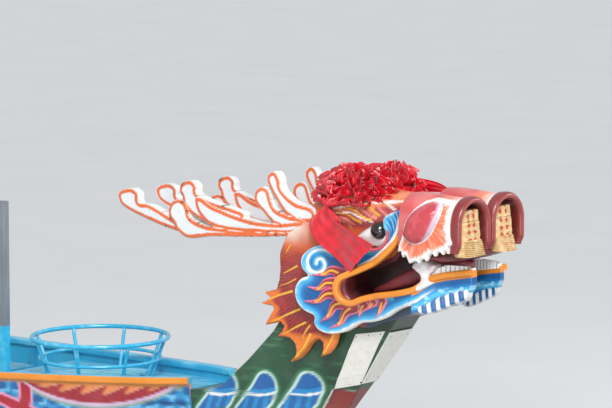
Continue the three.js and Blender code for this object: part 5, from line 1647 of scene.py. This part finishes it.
# Plates: blank enamelled boards held by small round-headed nails.
PLATE_CORNERS = np.array([(-0.225, -0.613), (-0.036, -0.58), (-0.25, -0.915), (-0.42, -0.955)])
PLATE_OUT = 0.0045
NAIL_RADIUS, NAIL_DARK = 0.0062, rgb(40, 34, 34)
nail_parts = []
inset = PLATE_CORNERS.mean(0) + (PLATE_CORNERS - PLATE_CORNERS.mean(0)) * [[0.86, 0.9]]
spots = [tuple(c) for c in inset] + [tuple(0.5 * (inset[0] + inset[1])), tuple(0.5 * (inset[2] + inset[3]))]
for sign in SIDES.values():
    for sx, sz in spots:
        out_y = float(neck_side(EYE_X + sx, EYE_Z + sz)) + PLATE_OUT
        nail_parts.append((*ball((EYE_X + sx, sign * out_y, EYE_Z + sz), NAIL_RADIUS, 7, 10, (1.0, 0.7, 1.0)),
                           NAIL_DARK))
for ny in (-0.075, 0.075, -0.052, 0.052):
    nz = 0.935 if abs(ny) > 0.06 else 0.668
    nail_parts.append((*ball((float(neck_front(nz)) + 0.005, ny, nz), NAIL_RADIUS, 7, 10, (0.7, 1.0, 1.0)),
                       NAIL_DARK))
place(make_mesh("plate_nails", *merge_parts(nail_parts)), CARVING_PAINT)

plate_enamel = Finish("plate_enamel", Coat_Weight=0.35, Coat_Roughness=0.12)
plate_dirt = plate_enamel.noise(30.0, 5.0, 0.7)
plate_scratch = plate_enamel.noise(60.0, 3.0, 0.7, plate_enamel.stretched((1.0, 1.0, 6.0)))
plate_base = plate_enamel.mix(PLATE_WHITE, rgb(198, 196, 186), plate_dirt.above(0.56, 0.3) * 0.7)
plate_base = plate_enamel.mix(plate_base, rgb(150, 96, 60), plate_dirt.above(0.74, 0.06) * 0.6)
plate_enamel.feed("Base Color", plate_enamel.mix(plate_base, rgb(150, 150, 146),
                                                 plate_scratch.above(0.68, 0.06) * 0.4))
plate_enamel.feed("Roughness", 0.28 + plate_dirt * 0.2)
plate_enamel.feed("Normal", plate_enamel.bump(plate_dirt + plate_scratch * 0.4, 0.25, 0.0012))


# Hull: painted planking on each side, with red crescents under the rail, round blue scales and
# dragon legs between every second pair of crescents.

CRESCENT_PITCH, CRESCENT_HALF, CRESCENT_DEEP = 1.5, 0.5, 0.125
LEGS = [
    stroke([(-0.27, 0.01), (-0.262, 0.1), (-0.235, 0.2)], 0.03, 0.038, 8),
    stroke([(-0.24, 0.185), (-0.4, 0.2), (-0.6, 0.18)], 0.034, 0.01, 10),
    stroke([(-0.24, 0.19), (-0.15, 0.24), (-0.1, 0.37)], 0.034, 0.014, 10),
    stroke([(0.25, 0.01), (0.255, 0.1), (0.235, 0.2)], 0.03, 0.038, 8),
    stroke([(0.24, 0.19), (0.06, 0.12), (-0.13, 0.095)], 0.034, 0.01, 10),
    stroke([(0.24, 0.19), (0.42, 0.24), (0.6, 0.225)], 0.034, 0.01, 10),
    stroke([(0.235, 0.19), (0.215, 0.28), (0.18, 0.36)], 0.034, 0.014, 8)]
CLAWS = [
    stroke([(-0.56, 0.182), (-0.64, 0.16)], 0.012, 0.002, 4),
    stroke([(-0.56, 0.186), (-0.64, 0.205)], 0.012, 0.002, 4),
    stroke([(0.56, 0.228), (0.65, 0.205)], 0.012, 0.002, 4),
    stroke([(0.56, 0.23), (0.64, 0.255)], 0.012, 0.002, 4),
    stroke([(-0.1, 0.098), (-0.18, 0.08)], 0.012, 0.002, 4),
    stroke([(-0.105, 0.35), (-0.07, 0.41)], 0.012, 0.002, 4),
    stroke([(0.183, 0.345), (0.15, 0.4)], 0.012, 0.002, 4)]


def scale_cells(x, down, pitch, drop):
    """Staggered rows of round scales: distance from the middle of the nearest one, where 1 is
    half the pitch, and a number that differs from scale to scale."""
    row = np.floor(down / drop)
    shifted = x / pitch + 0.5 * (row % 2)
    u = shifted - np.floor(shifted) - 0.5
    v = down / drop - row - 0.62
    key = np.sin(np.floor(shifted) * 12.9 + row * 78.2) * 43758.5
    return np.hypot(u, v * drop / pitch * 1.25) * 2.0, key - np.floor(key)


def hull_colour(x, y, z, inner):
    down = sheer(x) - z
    p2 = np.stack([x, down], axis=1)
    wobble = hash_noise(p2, 30.0, 101)
    ring, tone = scale_cells(x, down + 0.006 * wobble, 0.105, 0.072)
    paint = tint(plain(rgb(34, 136, 190), len(x)), rgb(2, 84, 146),
                 fade(ring + 0.2 * (wobble - 0.5), 0.45, 0.78))
    paint = tint(paint, rgb(22, 100, 170), (tone > 0.6) * fade(ring, 0.5, 0.8) * 0.7)
    paint = tint(paint, rgb(122, 190, 222), ramp(ring, 0.9, 1.02) * ramp(wobble, 0.3, 0.6) * 0.8)
    arcs = np.abs(((x / 0.34) % 1.0) - 0.5) * 0.34
    swell = z - (0.035 + 0.05 * np.sqrt(np.clip(1.0 - (arcs / 0.17) ** 2, 0, 1)))
    low = fade(swell, -0.004, 0.004)
    bands = np.sin(swell * 120.0 + 1.2) * 0.5 + 0.5
    paint = tint(paint, rgb(30, 118, 184), low)
    paint = tint(paint, rgb(186, 218, 232), low * ramp(bands, 0.62, 0.96))
    near = (x / CRESCENT_PITCH - np.round(x / CRESCENT_PITCH)) * CRESCENT_PITCH
    deep = CRESCENT_DEEP * np.clip(1.0 - (near / CRESCENT_HALF) ** 2, 0.0, 1.0) ** 0.8
    edge = deep - down
    outside = np.maximum(np.abs(near) - CRESCENT_HALF, 0.0)
    paint = tint(paint, rgb(132, 156, 140), ramp(edge, -0.042, -0.03) * (outside < 0.05))
    paint = tint(paint, rgb(206, 178, 206), ramp(edge, -0.026, -0.014) * (outside < 0.03))
    paint = tint(paint, rgb(152, 24, 40), ramp(edge, -0.006, 0.004))
    curl = down - deep * (0.36 + 0.24 * np.sin(near * 42.0 + 9.0 * down / np.maximum(deep, 0.02)))
    paint = tint(paint, rgb(212, 146, 108), ramp(edge, 0.002, 0.01) * fade(curl, -0.01, 0.01))
    flick = down - deep * (0.3 + 0.22 * np.sin(near * 42.0 + 0.9 + 9.0 * down / np.maximum(deep, 0.02)))
    paint = tint(paint, rgb(226, 122, 44), ramp(edge, 0.002, 0.01) * fade(flick, -0.01, 0.01) * 0.7)
    pair = x / (2 * CRESCENT_PITCH) - 0.25
    leg_x = (pair - np.round(pair)) * 2 * CRESCENT_PITCH
    q = np.stack([leg_x, down], axis=1)
    legs, _ = stroke_field(q, LEGS)
    claws, _ = stroke_field(q, CLAWS)
    clear = fade(edge, -0.02, -0.014)
    paint = tint(paint, WHITE, ramp(claws, -0.008, 0.001) * clear)
    paint = tint(paint, rgb(232, 150, 180), ramp(legs, -0.022, -0.01) * clear)
    paint = tint(paint, rgb(168, 24, 44), ramp(legs, -0.007, 0.003) * clear)
    paint = tint(paint, LIP_ORANGE, fade(down, 0.01, 0.014))
    paint = tint(paint, rgb(38, 66, 60), ramp(-z, 0.005, 0.045) * 0.65)
    return tint(paint, CYAN, inner)


def side_ring(x, sign, count=54):
    """The planking's section at each station: a soft curve through the outer corners, up to the
    sheer, then back down inside it by the plank's thickness. Over the last stretch at each end
    the topsides draw in to the end post."""
    corners = side_profile(x)
    t = np.linspace(0.0, 1.0, count)
    knots = np.array([0.0, 0.14, 0.52, 1.0])
    y = np.stack([np.interp(t, knots, row) for row in corners[..., 0]])
    z = np.stack([np.interp(t, knots, row) for row in corners[..., 1]])
    for _ in range(6):
        y[:, 1:-1] = 0.25 * y[:, :-2] + 0.5 * y[:, 1:-1] + 0.25 * y[:, 2:]
        z[:, 1:-1] = 0.25 * z[:, :-2] + 0.5 * z[:, 1:-1] + 0.25 * z[:, 2:]
    rows = np.array(NECK_SECTIONS)
    bow = np.interp(z, rows[:, 0], rows[:, 2])
    stern = np.interp(z, [-0.3, -0.12, 0.06, 0.3, 0.47, 0.6], [0.026, 0.09, 0.14, 0.19, 0.212, 0.22])
    upper = ramp(z, -0.13, -0.03)
    station = np.broadcast_to(x[:, None], y.shape)
    beside_deck = (y - 0.03) * ramp(z, 0.34, 0.41)
    bow, stern = np.maximum(bow + 0.004, beside_deck), np.maximum(stern + 0.004, beside_deck)
    y = y + (np.minimum(bow, y) - y) * ramp(station, 4.7, 5.1) * upper
    y = y + (np.minimum(stern, y) - y) * ramp(-station, 5.0, 5.4) * upper
    inner_y, inner_z = y[:, ::-6] - 0.028, z[:, ::-6]
    inner_z = inner_z + 0.024 * fade(inner_z, -0.2, -0.1)
    ring_y = np.concatenate([y, inner_y], axis=1)
    ring_z = np.concatenate([z, inner_z], axis=1)
    ring_x = np.broadcast_to(x[:, None], ring_y.shape)
    return np.stack([ring_x, sign * ring_y, ring_z], axis=-1), count


HULL_STATIONS = np.linspace(HULL_AFT, HULL_FORE, 760)
for side, sign in SIDES.items():
    rings, outer_count = side_ring(HULL_STATIONS, sign)
    inside = np.zeros(rings.shape[:2])
    inside[:, outer_count:] = 1.0
    vertices, faces = tube_mesh(rings, one_face_ends=True)
    paint = hull_colour(*vertices.T, inside.ravel())
    place(make_mesh(f"painted_side_{side}", vertices, faces, paint, 40.0), CARVING_PAINT,
          replaced=[f"side_planks_{side}"])

# Rails: soft-cornered timber along the sheer, cyan on top and orange on the outer face.
RAIL_STATIONS = np.linspace(HULL_AFT, HULL_FORE, 420)
for side, sign in SIDES.items():
    half = half_beam(RAIL_STATIONS)
    ends = ramp(RAIL_STATIONS, 4.8, 5.1) * 0.022 + ramp(-RAIL_STATIONS, 5.1, 5.4) * 0.038
    line = np.stack([RAIL_STATIONS, sign * (half - 0.0115 - ends), sheer(RAIL_STATIONS) + 0.0216], axis=1)
    section = soft_box_section(0.0335, 0.021, 0.01, 3)
    rings = sweep(line, section)
    vertices, faces = tube_mesh(rings)
    outer_face = np.append(np.broadcast_to((section[:, 0] * -sign > 0.026)[None, :], rings.shape[:2]).ravel(),
                           [0, 0])
    grain = hash_noise(vertices * [3.0, 40.0, 40.0], 1.0, 111)
    paint = tint(plain(rgb(48, 176, 216), len(vertices)), rgb(120, 206, 228), ramp(grain, 0.5, 0.8) * 0.6)
    paint = tint(paint, LIP_ORANGE, outer_face)
    place(make_mesh(f"rail_{side}", vertices, faces, paint, 50.0), CARVING_PAINT,
          replaced=[f"gunwale_{side}"])


# Guard ring of round tube: two hoops, raking legs and a foot plate under each.
RING_X, RING_RADIUS, RING_FOOT, RING_HEIGHT, RING_TUBE, RING_LEGS = 4.18, 0.42, 0.33, 0.235, 0.014, 8
DECK_DROP = 0.035
ring_top = float(sheer(RING_X + RING_FOOT)) - DECK_DROP + RING_HEIGHT


def hoop(radius, z, tube):
    turn = np.linspace(0.0, 2 * math.pi, 120, endpoint=False)
    line = np.stack([RING_X + radius * np.cos(turn), radius * np.sin(turn), np.full(120, z)], axis=1)
    return tube_mesh(sweep(line, round_section(tube, tube, 12), closed=True), closed_path=True)


tubes = [(*hoop(RING_RADIUS, ring_top, RING_TUBE), CYAN), (*hoop(0.372, ring_top - 0.13, RING_TUBE * 0.8), CYAN)]
for k in range(RING_LEGS):
    aim = 2 * math.pi * k / RING_LEGS + math.pi / RING_LEGS
    aim_x, aim_y = math.cos(aim), math.sin(aim)
    foot_z = float(sheer(RING_X + RING_FOOT * aim_x)) - DECK_DROP
    t = np.linspace(0.0, 1.0, 14)[:, None]
    foot = np.array([RING_X + RING_FOOT * aim_x, RING_FOOT * aim_y, foot_z + 0.002])
    head = np.array([RING_X + RING_RADIUS * aim_x, RING_RADIUS * aim_y, ring_top])
    tubes.append((*tube_mesh(sweep(foot + (head - foot) * t, round_section(0.0112, 0.0112, 12),
                                   up=(-aim_y, aim_x, 0.0))), CYAN))
    levels = np.stack([np.full(3, foot[0]), np.full(3, foot[1]),
                       foot_z + np.array([0.001, 0.007, 0.009])], axis=1)
    tubes.append((*tube_mesh(sweep(levels, round_section(0.03, 0.03, 20), [1.0, 1.0, 0.8], up=(0.0, 1.0, 0.0))),
                  rgb(36, 156, 198)))
vertices, faces, paint = merge_parts(tubes)
paint = tint(paint, rgb(150, 216, 232), ramp(hash_noise(vertices, 30.0, 121), 0.6, 0.85) * 0.4)
place(make_mesh("guard_hoops", vertices, faces, paint, 50.0),
      brushed_paint("tube_paint", gloss=0.26, chips=0.7, grime=0.3), replaced=["guard_ring"])


# Tail: the sternpost's skin, and flame boards cut from one outline whose relief follows each flame.

STERN_SECTIONS = [(-0.3, -5.401, 0.026, -5.5, 0.01), (-0.12, -5.401, 0.09, -5.64, 0.014),
                  (0.06, -5.401, 0.14, -5.76, 0.018), (0.3, -5.401, 0.19, -5.93, 0.03),
                  (0.47, -5.401, 0.212, -6.05, 0.044), (0.6, -5.401, 0.22, -6.12, 0.06)]
# Root, bend and tip of each flame as [x, z] on the boat, then its half width at the root and the tip.
TAIL_FLAMES = [
    ((-5.65, 0.56), (-6.35, 0.59), (-6.5, 1.05), 0.15, 0.1),
    ((-6.44, 0.96), (-6.48, 1.42), (-6.23, 1.54), 0.105, 0.012),
    ((-6.48, 0.98), (-6.64, 1.38), (-6.56, 1.69), 0.105, 0.012),
    ((-6.5, 0.95), (-6.76, 1.15), (-6.79, 1.47), 0.1, 0.012),
    ((-6.45, 0.88), (-6.74, 0.86), (-6.868, 1.12), 0.09, 0.012),
    ((-6.33, 0.76), (-6.6, 0.69), (-6.76, 0.85), 0.075, 0.012),
    ((-6.12, 0.74), (-6.23, 0.96), (-6.15, 1.12), 0.08, 0.012),
    ((-5.82, 0.64), (-5.93, 0.84), (-5.86, 0.98), 0.075, 0.012)]


def bent_stroke(root, bend, tip, root_half, tip_half):
    """A quadratic curve from root to tip pulled toward the bend, as offsets from the eye."""
    t = np.linspace(0.0, 1.0, 26)[:, None]
    path = (1 - t) ** 2 * np.array(root) + 2 * t * (1 - t) * np.array(bend) + t ** 2 * np.array(tip)
    return path - [EYE_X, EYE_Z], root_half + (tip_half - root_half) * t[:, 0]


TAIL_STROKES = [bent_stroke(*row) for row in TAIL_FLAMES]


def tail_field(points):
    return stroke_field(points, TAIL_STROKES)[0]


def tail_front(x, z, depth):
    points = pairs(x, z)
    out = np.full(len(x), 0.03)
    for k, (path, widths) in enumerate(TAIL_STROKES):
        gap, _ = path_field(points, path, widths)
        rim = rounded(-gap, 0.03)
        groove = 0.006 * np.exp(-((-gap - 0.03) / 0.006) ** 2)
        out = np.where(gap < 0.0, np.maximum(out - 0.003, 0.026 + 0.0012 * k + 0.014 * rim - groove), out)
    edge = rounded(depth, 0.014)
    return out - 0.016 * (1.0 - edge)


def green_scales(ring):
    """Dark green in the middle of each scale, green round it and a pale edge."""
    face = tint(plain(rgb(40, 122, 74), len(ring)), rgb(14, 62, 36), fade(ring, 0.45, 0.8))
    return tint(face, rgb(196, 222, 204), ramp(ring, 0.93, 1.03) * 0.9)


def tail_colour(x, z, depth):
    points = pairs(x, z)
    wobble = 0.01 * (hash_noise(points, 20.0, 131) - 0.5)
    paint = plain(NECK_GREEN, len(x))
    for k, (path, widths) in enumerate(TAIL_STROKES):
        gap, along = path_field(points, path, widths)
        here = ramp(-gap, -0.002, 0.002)
        if k == 0:
            ring, _ = scale_cells(along * 1.35, -gap, 0.09, 0.064)
            face = tint(green_scales(ring), FIN_ORANGE, fade(-gap + wobble, 0.014, 0.02))
        else:
            face = tint(plain(FIN_MAROON, len(x)), FIN_ORANGE, ramp(along + 6 * wobble, 0.45, 0.85))
            hatch = np.sin(along * 70.0 - 200.0 * np.abs(gap) + 6.0 * hash_noise(points, 9.0, 132)) * 0.5 + 0.5
            face = tint(face, rgb(98, 24, 28), ramp(hatch, 0.7, 0.9) * fade(along, 0.5, 0.8) * 0.6)
            face = tint(face, FIN_ORANGE, fade(-gap + wobble, 0.016, 0.026))
            centre, _ = path_field(points, path)
            face = tint(face, YELLOW, fade(centre, 0.006, 0.01) * ramp(along, 0.22, 0.26)
                        * fade(along, 0.84, 0.9))
        paint = tint(paint, face, here)
    return tint(paint, rgb(236, 196, 90), fade(depth, 0.003, 0.007) * 0.5)


board_pair("tail_flames", tail_field, (-13.5, -1.2), (-12.0, 0.2), 0.0085, tail_front,
           0.0, tail_colour, CARVING_PAINT, sharp=50.0)


def stern_colour(x, y, z):
    down = sheer(np.full(len(x), HULL_AFT)) - z + 0.1
    ring, _ = scale_cells(x + 0.4 * z, down, 0.105, 0.072)
    paint = tint(plain(rgb(38, 130, 190), len(x)), rgb(8, 78, 150), fade(ring, 0.45, 0.78))
    paint = tint(paint, rgb(122, 190, 222), ramp(ring, 0.9, 1.02) * 0.8)
    rise = z + 0.25 * (x - HULL_AFT)
    paint = tint(paint, green_scales(ring), ramp(rise, 0.295, 0.305))
    paint = tint(paint, FIN_ORANGE, fade(np.abs(rise - 0.3), 0.01, 0.018))
    paint = tint(paint, NECK_GREEN, ramp(z, 0.58, 0.592))
    return tint(paint, rgb(38, 66, 60), ramp(-z, 0.005, 0.045) * 0.65)


stern_rings = level_skin([(z, [(fore, -fh), (aft, -ah), (aft, ah), (fore, fh)])
                          for z, fore, fh, aft, ah in STERN_SECTIONS], 0.014, 2)
painted_skin("sternpost_skin", stern_rings, stern_colour, CARVING_PAINT, replaced=["tail"])


# Finishes of the solids that keep their own shape.

def plank_paint(name, colour, worn, pitch, axis="Y", gloss=0.42, streak=(1.5, 30.0, 30.0)):
    """Worn gloss paint on planks: a dark seam at every pitch across one axis, a tone of its own
    for each plank, and patches rubbed down to the colour underneath along the grain."""
    f = Finish(name, Coat_Weight=0.15, Coat_Roughness=0.25)
    across = f.part_of(f.object_place(), axis) / pitch
    plank = across.maths("FLOOR", across)
    inside = across - plank
    edge = inside.maths("ABSOLUTE", inside - 0.5)
    seam = edge.above(0.475, 0.02)
    tone = f.node("ShaderNodeTexWhiteNoise", {"noise_dimensions": "1D"}, W=plank)
    broad = f.noise(4.0, 4.0)
    grain = f.noise(30.0, 5.0, 0.6, f.stretched(streak))
    rubbed = (grain * 0.6 + broad * 0.5).above(0.66, 0.1)
    base = f.mix(colour, worn, rubbed * 0.75)
    base = f.mix(base, (0.02, 0.03, 0.035), f.noise(9.0, 5.0, 0.7).above(0.6, 0.2) * 0.45)
    base = f.mix(base, (1.0, 1.0, 1.0), tone * 0.1)
    f.feed("Base Color", f.mix(base, (0.015, 0.02, 0.022), seam * 0.85))
    f.feed("Roughness", gloss + rubbed * 0.2 + (broad - 0.5) * 0.15)
    f.feed("Normal", f.bump(grain * 0.5 - seam * 2.0 - rubbed * 0.3, 0.4, 0.0015))
    return f.material


def varnished_wood(name, light, dark, streak):
    """Straight-grained timber: rings stretched along the piece, fine pores and a worn varnish."""
    f = Finish(name, Coat_Weight=0.4, Coat_Roughness=0.18)
    rings = f.noise(14.0, 5.0, 0.6, f.stretched(streak))
    pores = f.noise(90.0, 2.0, 0.6, f.stretched(streak))
    worn = f.noise(5.0, 4.0)
    base = f.mix(light, dark, rings.above(0.5, 0.35))
    base = f.mix(base, rgb(60, 34, 18), pores.above(0.62, 0.1) * 0.5)
    f.feed("Base Color", f.mix(base, rgb(150, 128, 104), worn.above(0.62, 0.1) * 0.5))
    f.feed("Roughness", 0.34 + worn * 0.2)
    f.feed("Normal", f.bump(rings * 0.6 + pores * 0.5, 0.3, 0.001))
    return f.material


def post_steel():
    """Square galvanised post: streaked grey zinc, rust at its edges, and cyan paint on its foot."""
    f = Finish("post_steel", Coat_Weight=0.1)
    spangle = f.noise(26.0, 4.0, 0.6, f.stretched((1.0, 1.0, 0.15)))
    blotch = f.noise(12.0, 4.0)
    grey = f.mix(rgb(112, 118, 124), rgb(172, 178, 182), spangle)
    grey = f.mix(grey, rgb(120, 76, 46), blotch.above(0.68, 0.06) * 0.6)
    height = f.part_of(f.object_place(), "Z")
    foot = 1.0 - (height + (spangle - 0.5) * 0.05).above(0.735, 0.01)
    cyan = f.mix(CYAN, rgb(112, 204, 226), f.noise(20.0, 4.0).above(0.55, 0.2) * 0.5)
    f.feed("Base Color", f.mix(grey, cyan, foot))
    f.feed("Metallic", 0.75 - foot * 0.75)
    f.feed("Roughness", 0.42 + blotch * 0.15 - foot * 0.1)
    f.feed("Normal", f.bump(spangle + blotch * 0.5, 0.25, 0.001))
    return f.material


def forged_steel(name):
    f = Finish(name, Metallic=0.9)
    wear = f.noise(18.0, 5.0, 0.65)
    fine = f.noise(140.0, 2.0)
    f.feed("Base Color", f.mix(rgb(150, 154, 158), rgb(96, 66, 48), wear.above(0.6, 0.14)))
    f.feed("Roughness", 0.36 + wear * 0.25)
    f.feed("Normal", f.bump(fine + wear, 0.2, 0.0008))
    return f.material


DECK_CYAN = plank_paint("deck_boards_paint", CYAN, rgb(150, 212, 226), 0.115)
FRAME_CYAN = brushed_paint("frame_paint", rgb(36, 150, 190), gloss=0.45, chips=0.6, grime=0.5)
BENCH_FINISH = plank_paint("bench_paint", rgb(60, 168, 204), rgb(186, 168, 132), 0.115, "X", 0.4,
                           (30.0, 1.5, 30.0))
KEPT_FINISHES = {
    "bottom_planks": plank_paint("bottom_planks_paint", rgb(20, 84, 140), rgb(44, 92, 110), 0.14),
    "keel": brushed_paint("keel_paint", NECK_GREEN, gloss=0.5, chips=0.4, grime=0.6),
    "ribs_starboard": FRAME_CYAN, "ribs_port": FRAME_CYAN, "floor_slats": DECK_CYAN, "foredeck": DECK_CYAN,
    "aftdeck": DECK_CYAN, "ring_panel": plank_paint("panel_paint", rgb(96, 190, 214), rgb(206, 220, 216), 0.08),
    "deck_post": post_steel(), "plate_front": plate_enamel.material, "plate_starboard": plate_enamel.material,
    "plate_port": plate_enamel.material, "oarlock": forged_steel("oarlock_steel"),
    "oar_bracket": brushed_paint("bracket_paint", rgb(36, 150, 190), gloss=0.4, chips=0.7, grime=0.5),
    "steering_oar": varnished_wood("oar_wood", rgb(196, 142, 84), rgb(150, 96, 50), (0.12, 1.0, 1.0))}
KEPT_FINISHES.update({f"bench_{k}": BENCH_FINISH for k in range(1, 10)})
for node, finish in KEPT_FINISHES.items():
    solid = bpy.data.objects[node]
    solid.data.materials.clear()
    solid.data.materials.append(finish)
